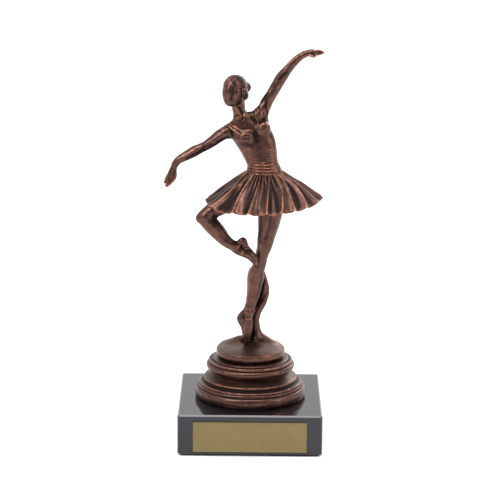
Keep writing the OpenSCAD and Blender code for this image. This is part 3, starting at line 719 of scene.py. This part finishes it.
def hair_bun():
    f = Field([-9, 1, 121], [3.2, 13.5, 133], 0.12)
    centre = np.array([-3.3, 6.6, 127.2])
    back = unit([0.55, 0.84, 0])
    side = unit([0.84, -0.55, 0])
    up = np.array([0, 0, 1.0])
    f.join(f.blob(centre, [2.1, 2.45, 2.45], [back, side, up]))
    f.join(f.blob(centre - back * 1.9, [1.7, 1.9, 1.9], [back, side, up]), 0.6)
    coil = []
    for t in np.linspace(0, 2.2, 36):
        a = 2 * np.pi * t
        r = 2.5 - 0.75 * t
        spot = centre + back * (0.3 + 0.95 * t - 0.12 * t * t)
        coil.append((*(spot + r * np.cos(a) * side + r * np.sin(a) * up), 0.42))
    f.press(coil, -0.35, steps=1)
    part, (x, y, z) = f.window([-9, 1, 121], [3.2, 13.5, 133])
    across = (x - centre[0]) * side[0] + (y - centre[1]) * side[1]
    rise = z - centre[2]
    turn = np.arctan2(rise, across)
    out = np.sqrt(across**2 + rise**2)
    f.d[part] -= (0.06 * np.sin(turn * 3 + out * 9)).astype(np.float32)
    return casting("hair_bun_cast", f, ["hair_bun"])


def ground_mound():
    """The modelled ground on the top tier, and the stem that props the standing leg."""
    f = Field([-17.5, -17.5, -2.6], [17.5, 17.5, 40], 0.24)
    part, (x, y, z) = f.window([-18, -18, -3], [18, 18, 14])
    # the ground's height: a shallow dome with a hill behind the foot
    out = np.sqrt(x**2 + y**2)
    dome = -1.7 + 1.75 * (1 - np.clip(out / 16.5, 0, 1) ** 3.4)
    crest = np.interp(x, [-16.2, -12.8, -9.3, -6.2, -2, 3, 6.8, 9.7, 12.7, 15.8],
                      [-1.5, 0.0, 1.4, 2.7, 3.3, 3.9, 3.5, 1.5, -0.3, -1.6])
    fall = np.where(y < 5, np.exp(-(((y - 5) / 4.4) ** 2)), np.exp(-(((y - 5) / 6.5) ** 2)))
    height = dome + np.maximum(crest - dome, 0) * fall
    height += 0.05 * np.sin(x * 0.7 + 1.7 * np.sin(y * 0.4)) * step_up(16 - out, 0, 3)
    ground = (z - height) * 0.8
    ground = np.maximum(ground, np.maximum(out - 16.45, -1.75 - z))
    f.join((part, np.minimum(ground, FAR).astype(np.float32)))
    stem = [(2.3, 5, 1.5, 4.2), (2.4, 4.95, 4.4, 3.1), (2.2, 4.9, 8, 2.45), (2.3, 5, 12, 2.15),
            (3.3, 5, 16, 2.3), (5.5, 5, 19.8, 2.15), (7.1, 5, 23.4, 1.7), (8.0, 4.9, 27, 1.1),
            (7.4, 4.7, 30.6, 1.05), (6.4, 4.2, 34.2, 0.95), (5.2, 3.4, 37.4, 1.0)]
    f.join(f.bar(stem), 1.6)
    f.join(f.bar([(3.6, 5, 1.8, 2.2), (7, 4.6, 0.6, 1.8), (11.4, 3.6, -1.0, 1.1)]), 2.2)
    web = [(2.6, 4.4, 14, 2.0, 0.4), (3.8, 4.3, 20, 2.3, 0.35), (5.4, 4.1, 26, 2.4, 0.3),
           (5.8, 3.6, 32, 1.8, 0.35), (5.0, 3.2, 36, 1.0, 0.6)]
    f.join(f.bar(web, [0, 1, 0]), 0.4)
    # the dark slot between the leg and the stem
    f.draw([(6.3, 32.6, 0.5), (5.7, 29.5, 0.8), (5.0, 26, 0.9), (3.6, 22.6, 0.7)], 1.2)
    f.press([(-3.9, 0.4, 0.4, 0.7), (-3.6, 1.6, 1.6, 0.8), (-1.6, 2.0, 2.4, 0.8),
             (0.4, 1.6, 1.8, 0.7), (0.2, 0.2, 0.4, 0.6)], 0.45)
    f.press([(1.6, 1.6, 3.4, 0.7), (1.6, 2.4, 9, 0.6), (2.2, 2.9, 15, 0.6),
             (5.6, 3.4, 22, 0.4)], 0.35)
    # painted shade in the slot between the leg and the stem, and in the gap between the foot and the
    # stem down to the ground
    return casting("ground_mound_cast", f, ["ground_mound"], most_worn=0.14, dark=[
        [(6.3, 32.6, 0.7, 1.2), (5.7, 29.5, 1.1, 1.8), (5.0, 26, 1.2, 1.8),
         (3.6, 22.6, 1.0, 1.5), (2.2, 19.6, 0.8, 0.9)],
        [(-3.6, 1.2, 1.0, 0.6), (0.6, 2, 1.2, 0.7), (0.9, 9, 0.9, 0.5), (0.6, 15, 0.8, 0.5)],
    ])


# ---------------------------------------------------------------- split the upper body


def split_upper(field):
    """The upper body as bodice and two arms, cut where the castings are joined."""
    # painted shade and painted dark reflection: a dark core down the torso, at the side of and under
    # the bust, in the neck's hollows, under the right arm and in bands along both arms
    whole = casting("bodice_cast", field, ["bodice"], dark=[
        [(1.6, 105.6, 1.2, 0.18), (2.4, 102.6, 2.2, 0.2), (3.6, 98, 3.4, 0.2),
         (4.4, 93, 3.4, 0.2), (5, 88, 3.0, 0.15)],
        [(9.8, 107, 1.6, 0.25), (11, 101, 1.4, 0.25)],
        [(-6.6, 100.6, 1.4, 0.14), (-2.6, 100.2, 1.4, 0.14)],
        [(-3.2, 118.4, 0.9, 0.6), (-2.2, 116.6, 1.0, 0.6), (0.4, 117, 0.9, 0.5)],
        [(-6.6, 120.6, 0.7, 0.5), (-6.2, 118, 0.7, 0.5), (-5.2, 115.4, 0.5, 0.4)],
        [(-14.4, 102.8, 1.2, 0.5), (-19, 99.8, 1.2, 0.6), (-23, 97.6, 1.1, 0.6),
         (-28, 95, 1.1, 0.6), (-32, 92.9, 1.0, 0.5), (-36, 90, 0.9, 0.5), (-39, 84.4, 0.9, 0.4)],
        [(-15.6, 106.0, 0.8, 0.15), (-21, 101.8, 0.9, 0.35), (-27, 98.4, 0.9, 0.4),
         (-33, 95.0, 0.9, 0.4), (-37.4, 90.6, 0.9, 0.4), (-40.2, 85.6, 0.9, 0.4)],
        [(5.8, 119, 0.9, 0.35), (8.0, 124.4, 1.1, 0.45), (10.8, 129.6, 1.2, 0.5),
         (13.6, 133.6, 1.1, 0.5), (17.4, 137.6, 0.9, 0.4), (22, 142, 0.8, 0.4)],
        [(3.2, 122, 0.7, 0.5), (6.2, 128, 0.7, 0.5), (9.4, 133.4, 0.7, 0.45),
         (13, 137.6, 0.6, 0.4)],
        [(6.6, 118.4, 0.6, 0.5), (7.4, 115, 0.7, 0.5)],
    ])
    for name, spot, along in (
        ("right_arm", [-12.3, 0, 104], [-1, 0, -0.05]),
        ("left_arm", [7.5, 0, 111.5], [0.8, 0, 0.6]),
    ):
        arm = in_scene(name + "_cast", whole.data.copy())
        trim(arm.data, spot, along, keep_beyond=True)
        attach(arm, "root")
        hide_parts(name)
        trim(whole.data, spot, along, keep_beyond=False)


def trim(mesh, spot, along, keep_beyond):
    """Cuts a mesh by a plane and closes the cut."""
    bm = bmesh.new()
    bm.from_mesh(mesh)
    at = Vector(((np.array(spot) + TOE) * MM).tolist())
    bmesh.ops.bisect_plane(
        bm, geom=bm.verts[:] + bm.edges[:] + bm.faces[:], plane_co=at, plane_no=along,
        clear_inner=keep_beyond, clear_outer=not keep_beyond,
    )
    edges = [e for e in bm.edges if e.is_boundary]
    bmesh.ops.holes_fill(bm, edges=edges, sides=0)
    for e in edges:
        e.smooth = False
    bmesh.ops.triangulate(bm, faces=[f for f in bm.faces if len(f.verts) > 4])
    bm.to_mesh(mesh)
    bm.free()


# ---------------------------------------------------------------- skirt and sash

SKIRT_CENTRE = 5.8
WAIST = 87.2


def closed_tube(rings):
    """Points and quads of rings joined end to end into a closed loop of section."""
    rings = np.array(rings)
    m, n = rings.shape[:2]
    i, k = np.meshgrid(np.arange(m), np.arange(n), indexing="ij")
    a = i * n + k
    b = i * n + (k + 1) % n
    c = ((i + 1) % m) * n + (k + 1) % n
    d = ((i + 1) % m) * n + k
    return rings.reshape(-1, 3), np.stack([a, b, c, d], -1).reshape(-1, 4)


def sheet_piece(name, rings, replaced, height=0.0):
    """A bronze piece from rings of points round a closed section, facing out. height says
    how far each point stands out of its surroundings, for the patina."""
    points, quads = closed_tube(rings)
    a, b, c, d = (points[quads[:, i]] for i in range(4))
    if np.einsum("ij,ij->", np.cross(c - a, d - b), (a + b + c + d) / 4 - points.mean(0)) < 0:
        quads = quads[:, ::-1]
    normals = vertex_normals(points, quads)
    bend = np.clip(curvature(points, quads, normals, 5), -1.2, 1.2)
    obj = build(name, points + TOE, quads, wear=1.1 * bend + 0.3 * height - 0.03,
                recess=-0.7 * bend - 0.3 * height - 0.05, smooth=60)
    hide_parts(*replaced)
    return obj


# each fold of the skirt: its angle at the waist, halfway down and at the hem, in degrees
# round from the dancer's left, how wide it is at the hem and how proud, both as shares
FOLDS = [
    (-150, -156, -160, 1.2, 0.7), (-131, -143, -153, 0.9, 1.0), (-124, -124, -122, 0.8, 1.1),
    (-113, -119, -113, 0.7, 0.35), (-99, -102, -105, 0.8, 1.1), (-87, -94, -94, 0.6, 0.7),
    (-76, -84, -87, 0.6, 1.1), (-59, -64, -73, 0.8, 1.1), (-50, -60, -66, 0.8, 0.4),
    (-41, -52, -58, 0.7, 1.0), (-31, -35, -44, 0.9, 1.1), (-19, -20, -24, 1.3, 0.8),
    (-4, -5, -3, 1.1, 1.0), (9, 12, 12, 0.9, 0.9), (22, 23, 26, 1.0, 1.0),
    (35, 38, 36, 0.8, 0.9), (47, 50, 52, 1.0, 1.0), (60, 62, 66, 0.8, 0.8),
    (72, 74, 77, 0.9, 1.1), (84, 88, 92, 1.0, 0.8), (97, 100, 103, 0.8, 1.0),
    (109, 113, 118, 1.0, 0.9), (122, 127, 130, 0.9, 1.1), (135, 140, 146, 1.0, 0.8),
    (149, 155, 160, 0.9, 1.0), (164, 170, 175, 1.0, 0.9),
]


def skirt():
    """A fluted bell: folds that wander from the waist to the hem, gathered at the top."""
    around = 560
    a = np.linspace(0, 2 * np.pi, around, endpoint=False)
    folds = np.radians(np.array([row[:3] for row in FOLDS]))
    width, proud = np.array([row[3:] for row in FOLDS]).T

    def relief(s):
        """How far the folds stand out at a share s of the way down."""
        early, late = (1 - s) * (1 - 2 * s), s * (2 * s - 1)
        place = folds @ np.array([early, 4 * s * (1 - s), late])
        off = (a[:, None] - place[None, :] + np.pi) % (2 * np.pi) - np.pi
        span = np.radians(3.3 + 0.9 * s) * (0.55 + 0.45 * width)
        crest = (proud * np.exp(-np.abs(off / span) ** 1.5)).sum(1)
        gather = 0.36 * np.cos(47 * a + 1.5 * np.sin(3 * a)) * np.exp(-((s / 0.34) ** 2))
        patches = 0.5 + 0.5 * np.sin(3 * a + 7 * s)
        gather += 0.16 * np.sin(33 * a + 5 * s + 2 * np.sin(5 * a)) * patches
        return crest, gather

    def ring(s, inset):
        crest, gather = relief(min(s, 1.0))
        lift = (0.75 + 1.55 * s) * (crest - 0.55) + gather
        rx, ry = 8.9 + 19.3 * s, 7.0 + 17.6 * s
        drop = np.interp(s, [0, 0.12, 0.3, 0.5, 0.7, 0.88, 1.02],
                         [0, 1.6, 4.0, 6.8, 9.8, 12.7, 14.7])
        right = np.exp(-(((a + 0.3 + np.pi) % (2 * np.pi) - np.pi) / 0.75) ** 2)
        sag = np.clip(np.cos(a + 2.1), -0.6, 1)
        drop = drop - 1.3 * step_up(s, 0, 0.5) * right
        drop = drop + 1.2 * s**2 * sag + 0.5 * s**2 * np.sin(a) ** 2
        slope = np.radians(38)
        out = (lift - inset) * np.sin(slope)
        rise = (lift - inset) * np.cos(slope) * 0.75
        x = SKIRT_CENTRE + (rx + out) * np.cos(a)
        y = (ry + out) * np.sin(a)
        return np.stack([x, y, WAIST - drop + rise], 1)

    levels = np.linspace(0, 1, 52)
    thick = 0.95
    rings = [ring(s, 0) for s in levels]
    rings += [ring(1.012, 0.2), ring(1.016, 0.5), ring(1.012, 0.75)]
    rings += [ring(s, thick) for s in levels[::-1]]
    hub = np.array([SKIRT_CENTRE, 0, WAIST - 1.2])
    flat = np.array([0.6, 0.6, 0])
    rings += [hub + (ring(0, thick) - hub) * flat, hub + (ring(0, 0) - hub) * flat + [0, 0, 0.7]]
    tops = [relief(s) for s in levels]
    outer = [(crest - 0.6) * 1.3 + gather * 2 for crest, gather in tops]
    edge = np.full((3, around), 0.5)
    height = np.vstack([outer, edge, -np.array(outer)[::-1] * 0.5, np.zeros((2, around))])
    return sheet_piece("skirt_cast", rings, ["skirt"], height=height.ravel())


def waist_sash():
    """A gathered band round the waist, with folds running round it."""
    a = np.linspace(0, 2 * np.pi, 320, endpoint=False)
    levels = np.linspace(0, 1, 60)
    rings = []
    for t in levels:
        z = 86.5 + 6.6 * t
        centre = 5.95 - 1.1 * t**1.3
        wide = 9.1 - 2.1 * t**0.8
        deep = 7.2 - 1.7 * t**0.8
        folds = 0.2 * np.sin(2 * np.pi * (4.6 * t + 0.25 * np.sin(a + 0.5) + 0.12 * np.sin(3 * a)))
        folds += 0.1 * np.sin(2 * np.pi * (9 * t + 0.4 * np.sin(2 * a)))
        out = folds * (0.5 + 0.5 * np.cos(2 * a) ** 2) - 0.5 * step_up(t, 0.86, 1.0)
        tilt = 0.5 * np.cos(a) * t
        rings.append(np.stack([centre + (wide + out) * np.cos(a), (deep + out) * np.sin(a),
                               z + tilt + 0 * a], 1))
    top = rings[-1]
    hub = top.mean(0)
    rings.append(hub + (top - hub) * [0.8, 0.8, 1] + [0, 0, 0.1])
    base = rings[0]
    low = base.mean(0)
    rings.append(low + (base - low) * [0.8, 0.8, 1])
    return sheet_piece("waist_sash_cast", rings, ["waist_sash"])


# ---------------------------------------------------------------- plinth, block and plate


def turned(name, profile, replaced):
    """A turned tier from (radius, height) rows measured from its seat; rows that repeat a
    height and radius closely make a crisp arris. Its patina follows the profile."""
    seat = cad_mm(name)[0][2]
    rows = smooth_rows(profile, 8)
    run = np.r_[0, np.cumsum(np.linalg.norm(np.diff(rows, axis=0), axis=1))]
    spots = np.linspace(0, run[-1], int(run[-1] / (0.19)))
    line = np.stack([np.interp(spots, run, rows[:, i]) for i in (0, 1)], 1)
    tangent = np.gradient(line, axis=0)
    tangent /= np.linalg.norm(tangent, axis=1)[:, None]
    outward = np.stack([tangent[:, 1], -tangent[:, 0]], 1)

    def stands_out(reach):
        n = max(2, int(reach / (spots[1] - spots[0])))
        kernel = np.exp(-((np.arange(-3 * n, 3 * n + 1) / n) ** 2) / 2)
        padded = np.pad(line, ((3 * n, 3 * n), (0, 0)), mode="reflect", reflect_type="odd")
        mean = np.stack([np.convolve(padded[:, i], kernel / kernel.sum(), "valid")
                         for i in (0, 1)], 1)
        return ((line - mean) * outward).sum(1)

    fine, broad = stands_out(0.3), stands_out(0.9)
    bore = 2.7
    line = np.vstack([line, [bore, line[-1][1]], [bore, line[0][1]]])
    fine, broad = (np.r_[v, 0, 0] for v in (fine, broad))
    a = np.linspace(0, 2 * np.pi, 220, endpoint=False)
    rings = []
    for r, z in line:
        wobble = 0.999 + 0.0010 * np.sin(3 * a + 1 + z * 0.4) + 0.0007 * np.sin(7 * a + z)
        rings.append(np.stack([r * np.cos(a) * wobble, r * np.sin(a) * wobble, z + 0 * a], 1))
    points, quads = closed_tube(rings)
    points = points + [0, 0, seat]
    normals = vertex_normals(points, quads)
    if (normals[:, :2] * points[:, :2]).sum() < 0:
        quads = quads[:, ::-1]
    wear = np.repeat(4.6 * fine, len(a)) - 0.12
    recess = np.repeat(-2.4 * broad - 2.0 * fine, len(a))
    obj = build(name + "_cast", points, quads, wear=wear, recess=recess, smooth=0)
    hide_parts(*replaced)
    return obj


def plinth():
    turned("plinth_foot", [
        (26.4, 0), (26.9, 0.4), (27.3, 1.4), (27.4, 2.8), (27.2, 4.1), (26.8, 4.9), (26.3, 5.2),
        (25.9, 5.25), (25.8, 5.45), (25.75, 5.9), (25.6, 6.4), (25.3, 6.7),
        (25.2, 6.85), (25.3, 7.2), (25.1, 7.6), (24.7, 7.8),
        (23.5, 7.9), (23.1, 8.1), (22.95, 8.7), (23.1, 9.2), (23.1, 9.6), (22.8, 9.95),
        (22.0, 10.25), (20.6, 10.9), (19.4, 11.7), (18.7, 12.4),
    ], ["plinth_foot"])
    turned("plinth_middle", [
        (18.4, 0), (19.2, 0.3), (20.4, 1.0), (21.4, 2.0), (21.85, 3.1), (21.75, 4.0), (21.3, 4.55),
        (20.9, 4.75), (20.7, 4.8), (20.6, 5.0), (20.75, 5.5), (20.75, 5.9), (20.55, 6.25),
        (20.1, 6.4), (19.3, 6.5), (18.9, 6.7), (18.5, 7.1), (16.8, 7.4), (15.4, 7.5),
    ], ["plinth_middle"])
    turned("plinth_top", [
        (15.2, 0), (15.8, 0.3), (16.5, 0.9), (16.95, 1.8), (17.05, 2.8), (17.0, 3.6),
        (16.85, 4.0), (16.6, 4.2), (14, 4.2), (8, 4.2),
    ], ["plinth_top"])


def name_plate():
    """A blank plate with a narrow raised border and rounded arrises."""
    low, high = (v * MM for v in cad_mm("name_plate"))
    bm = bmesh.new()
    bmesh.ops.create_cube(bm, size=1)
    size = high - low
    for v in bm.verts:
        v.co = Vector([(low[i] + high[i]) / 2 + v.co[i] * size[i] for i in range(3)])
    front = min(bm.faces, key=lambda f: f.calc_center_median().y)
    border = 0.75 * MM
    bmesh.ops.inset_region(bm, faces=[front], thickness=border)
    bmesh.ops.inset_region(bm, faces=[front], thickness=0.12 * MM)
    for v in front.verts:
        v.co.y += 0.1 * MM
    outer = [e for e in bm.edges if e.is_manifold and e.calc_face_angle(0) > 1.2]
    bmesh.ops.bevel(bm, geom=outer, offset=0.12 * MM, segments=2, profile=0.6,
                    affect="EDGES")
    mesh = bpy.data.meshes.new("name_plate_face")
    bm.to_mesh(mesh)
    bm.free()
    obj = in_scene("name_plate_face", mesh)
    mesh.shade_smooth()
    mesh.set_sharp_from_angle(angle=np.radians(35))
    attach(obj, "root")
    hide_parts("name_plate")
    return obj


# ---------------------------------------------------------------- materials


class Nodes:
    """A small helper for node materials."""

    def __init__(self, name):
        self.material = bpy.data.materials.new(name)
        self.material.use_nodes = True
        self.tree = self.material.node_tree
        self.tree.nodes.clear()
        self.shader = self.add("ShaderNodeBsdfPrincipled")
        output = self.add("ShaderNodeOutputMaterial")
        self.link(self.shader, "BSDF", output, "Surface")
        self.where = self.add("ShaderNodeTexCoord")

    def add(self, kind, **values):
        node = self.tree.nodes.new(kind)
        for key, value in values.items():
            setattr(node, key, value)
        return node

    def link(self, a, out, b, into):
        self.tree.links.new(a.outputs[out], b.inputs[into])

    def noise(self, size_mm, detail=4, rough=0.6, stretch=None):
        """Noise with features of about that size."""
        node = self.add("ShaderNodeTexNoise")
        node.inputs["Scale"].default_value = 1 / (size_mm * MM)
        node.inputs["Detail"].default_value = detail
        node.inputs["Roughness"].default_value = rough
        if stretch:
            mapping = self.add("ShaderNodeMapping")
            mapping.inputs["Scale"].default_value = stretch
            self.link(self.where, "Object", mapping, "Vector")
            self.link(mapping, "Vector", node, "Vector")
        else:
            self.link(self.where, "Object", node, "Vector")
        return node

    def ramp(self, source, out, stops):
        """A colour ramp of (position, value or colour)."""
        node = self.add("ShaderNodeValToRGB")
        self.link(source, out, node, "Fac")
        elements = node.color_ramp.elements
        while len(elements) > 1:
            elements.remove(elements[-1])
        for i, (position, value) in enumerate(stops):
            element = elements[0] if i == 0 else elements.new(position)
            element.position = position
            colour = value if hasattr(value, "__len__") else (value,) * 3
            element.color = (*colour, 1)
        return node

    def maths(self, operation, a, b=0.0, clamp=False):
        node = self.add("ShaderNodeMath", operation=operation, use_clamp=clamp)
        for i, value in enumerate((a, b)):
            if isinstance(value, tuple):
                self.tree.links.new(value[0].outputs[value[1]], node.inputs[i])
            else:
                node.inputs[i].default_value = value
        return node

    def mix(self, factor, a, b, blend="MIX"):
        node = self.add("ShaderNodeMix", data_type="RGBA", blend_type=blend)
        for socket, value in ((0, factor), (6, a), (7, b)):
            if isinstance(value, tuple) and not isinstance(value[0], (int, float)):
                self.tree.links.new(value[0].outputs[value[1]], node.inputs[socket])
            elif socket == 0:
                node.inputs[0].default_value = value
            else:
                node.inputs[socket].default_value = (*value, 1)
        return node

    def bump(self, source, out, height_mm, strength=1.0, under=None):
        node = self.add("ShaderNodeBump")
        node.inputs["Strength"].default_value = strength
        node.inputs["Distance"].default_value = height_mm * MM
        self.link(source, out, node, "Height")
        if under:
            self.link(under, "Normal", node, "Normal")
        return node


def bronze_material():
    m = Nodes("bronze_patina")
    wear = m.add("ShaderNodeAttribute", attribute_name="wear")
    recess = m.add("ShaderNodeAttribute", attribute_name="recess")
    mottle = m.noise(2.2, 6, 0.65)
    fine = m.noise(0.45, 4, 0.6)
    broad = m.noise(9, 3, 0.5)
    # worn copper on convex edges, broken up by noise
    edge = m.maths("MULTIPLY_ADD", (wear, "Fac"), 1.5)
    edge.inputs[2].default_value = -0.28
    broken = m.maths("MULTIPLY_ADD", (mottle, "Fac"), 1.2)
    broken.inputs[2].default_value = -0.66
    edge = m.maths("ADD", (edge, "Value"), (broken, "Value"), clamp=True)
    # dark patina in hollows, and the painted shade that the castings' dark paths put into the wear
    # and recess attributes
    hollow = m.maths("MULTIPLY", (wear, "Fac"), -2.2)
    deep = m.maths("MULTIPLY", (recess, "Fac"), 2.2)
    hollow = m.maths("ADD", (hollow, "Value"), (deep, "Value"))
    hollow = m.maths("ADD", (hollow, "Value"), -0.1, clamp=True)
    brown = m.ramp(mottle, "Fac", [(0.3, (0.062, 0.032, 0.026)), (0.5, (0.098, 0.049, 0.038)),
                                   (0.7, (0.14, 0.067, 0.049))])
    warm = m.ramp(broad, "Fac", [(0.35, (0.8, 0.8, 0.85)), (0.65, (1.0, 0.95, 0.9))])
    brown = m.mix(1.0, (brown, "Color"), (warm, "Color"), "MULTIPLY")
    copper = m.mix((edge, "Value"), (brown, 2), (0.48, 0.175, 0.09))
    final = m.mix((hollow, "Value"), (copper, 2), (0.012, 0.008, 0.0075))
    m.link(final, 2, m.shader, "Base Color")
    gloss = m.ramp(fine, "Fac", [(0.3, 0.28), (0.7, 0.42)])
    dull = m.maths("MULTIPLY", (hollow, "Value"), 0.22)
    rough = m.maths("ADD", (gloss, "Color"), (dull, "Value"))
    m.link(rough, "Value", m.shader, "Roughness")
    m.shader.inputs["Metallic"].default_value = 0.92
    pits = m.bump(fine, "Fac", 0.05, 0.35)
    bump = m.bump(mottle, "Fac", 0.16, 0.3, pits)
    m.link(bump, "Normal", m.shader, "Normal")
    return m.material


def stone_material():
    m = Nodes("black_stone")
    cloud = m.noise(14, 6, 0.6)
    grain = m.noise(0.5, 3, 0.5)
    base = m.ramp(cloud, "Fac", [(0.35, (0.0025, 0.0025, 0.003)), (0.7, (0.006, 0.006, 0.0075))])
    specks = m.ramp(grain, "Fac", [(0.66, 0.0), (0.8, 0.012)])
    final = m.mix(1.0, (base, "Color"), (specks, "Color"), "ADD")
    m.link(final, 2, m.shader, "Base Color")
    gloss = m.ramp(cloud, "Fac", [(0.3, 0.03), (0.7, 0.07)])
    m.link(gloss, "Color", m.shader, "Roughness")
    m.shader.inputs["IOR"].default_value = 1.5
    m.shader.inputs["Specular Tint"].default_value = (0.95, 0.93, 1.0, 1)
    wave = m.noise(22, 2, 0.5)
    m.link(m.bump(wave, "Fac", 0.03, 0.2), "Normal", m.shader, "Normal")
    return m.material


def plate_material():
    m = Nodes("plate_gold")
    brush = m.noise(0.25, 3, 0.6, stretch=(0.06, 1, 1))
    cloud = m.noise(8, 3, 0.5)
    base = m.ramp(cloud, "Fac", [(0.3, (0.185, 0.137, 0.055)), (0.7, (0.2, 0.149, 0.06))])
    m.link(base, "Color", m.shader, "Base Color")
    gloss = m.ramp(brush, "Fac", [(0.3, 0.5), (0.7, 0.62)])
    m.link(gloss, "Color", m.shader, "Roughness")
    m.shader.inputs["Metallic"].default_value = 0.55
    m.link(m.bump(brush, "Fac", 0.015, 0.4), "Normal", m.shader, "Normal")
    return m.material


def plain_material(name, low, high, size_mm, rough, metallic=0.0, bump_mm=0.05):
    """A simple surface: two tones of noise, with the same noise in its roughness."""
    m = Nodes(name)
    noise = m.noise(size_mm, 5, 0.6)
    m.link(m.ramp(noise, "Fac", [(0.3, low), (0.7, high)]), "Color", m.shader, "Base Color")
    tone = m.ramp(noise, "Fac", [(0.3, rough - 0.06), (0.7, rough + 0.06)])
    m.link(tone, "Color", m.shader, "Roughness")
    m.shader.inputs["Metallic"].default_value = metallic
    m.link(m.bump(noise, "Fac", bump_mm, 0.5), "Normal", m.shader, "Normal")
    return m.material


def paint(obj, material):
    if obj.material_slots:
        for place in obj.material_slots:
            place.material = material
    else:
        obj.data.materials.append(material)


# ---------------------------------------------------------------- put it together


def studio():
    """A wide pale floor, soft lights and the camera."""
    side = 8.0
    mesh = bpy.data.meshes.new("floor")
    mesh.from_pydata([(-side, -side, 0), (side, -side, 0), (side, side, 0), (-side, side, 0)],
                     [], [(0, 1, 2, 3)])
    floor = in_scene("floor", mesh)
    white = plain_material("floor_white", (0.93, 0.93, 0.93), (0.94, 0.94, 0.94), 400, 0.8,
                           bump_mm=0.001)
    paint(floor, white)

    world = bpy.data.worlds.new("studio")
    world.use_nodes = True
    tree = world.node_tree
    sky = tree.nodes["Background"]
    # white all round but for a dark part on the camera's side of the studio
    where = tree.nodes.new("ShaderNodeTexCoord")
    split = tree.nodes.new("ShaderNodeSeparateXYZ")
    shade = tree.nodes.new("ShaderNodeMapRange")
    shade.interpolation_type = "SMOOTHSTEP"
    for socket, value in (("From Min", -0.95), ("From Max", -0.2), ("To Min", 0.06),
                          ("To Max", 1.2)):
        shade.inputs[socket].default_value = value
    tree.links.new(where.outputs["Generated"], split.inputs[0])
    tree.links.new(split.outputs["Y"], shade.inputs["Value"])
    tree.links.new(shade.outputs["Result"], sky.inputs["Strength"])
    sky.inputs["Color"].default_value = (1, 1, 1, 1)
    bpy.context.scene.world = world

    lights = [
        ("key", (-0.6, -0.65, 0.9), 0.45, 9.0),
        ("fill", (0.9, -0.5, 0.5), 0.5, 3.0),
        ("top", (0.05, -0.3, 1.2), 0.6, 7.0),
        ("rim", (0.5, 0.8, 0.5), 0.5, 3.0),
    ]
    for name, place, size, power in lights:
        lamp = bpy.data.lights.new(name, "AREA")
        lamp.shape = "DISK"
        lamp.size = size
        lamp.energy = power
        obj = in_scene(name, lamp)
        obj.location = place
        aim = Vector((0, 0, 0.1)) - Vector(place)
        obj.rotation_euler = aim.to_track_quat("-Z", "Y").to_euler()

    camera = bpy.data.cameras.new("camera")
    camera.sensor_width = 36.0
    camera.lens = 151.6
    camera.clip_start = 0.01
    obj = in_scene("camera", camera)
    # the viewpoint, from a fit to the block's corners in the photograph
    target = Vector((-0.00068, 0, 0.09453))
    distance, roll = 1.03127, np.radians(0.491)
    obj.location = target + distance * Vector((0, -np.cos(VIEW_UP), np.sin(VIEW_UP)))
    look = (target - obj.location).to_track_quat("-Z", "Y")
    obj.rotation_euler = (look.to_matrix() @ Matrix.Rotation(roll, 3, "Z")).to_euler()
    bpy.context.scene.camera = obj
    bpy.context.scene.view_settings.view_transform = "Standard"


bronze = bronze_material()
stone = stone_material()
gold = plate_material()
steel = plain_material("zinc_steel", (0.42, 0.42, 0.44), (0.55, 0.55, 0.57), 1.5, 0.35, 1.0)
felt = plain_material("felt", (0.012, 0.02, 0.015), (0.03, 0.042, 0.035), 0.35, 0.95,
                      bump_mm=0.2)
film = plain_material("adhesive_film", (0.62, 0.6, 0.55), (0.7, 0.68, 0.62), 3, 0.6)

standing_leg()
raised_leg()
pelvis()
split_upper(upper_body())
head()
hair_bun()
skirt()
waist_sash()
ground_mound()
plinth()
paint(name_plate(), gold)

by_slot = {s["node"]: s["material_slot"] for s in frame["record"]["subparts"]}
finish = {"marble": stone, "fixing_steel": steel, "felt": felt, "adhesive_film": film,
          "bronze": bronze, "plate_brass": gold}
for name, node in frame["nodes"].items():
    paint(node, finish[by_slot[name]])
for obj in bpy.context.scene.objects:
    if obj.name.endswith("_cast"):
        paint(obj, bronze)

studio()
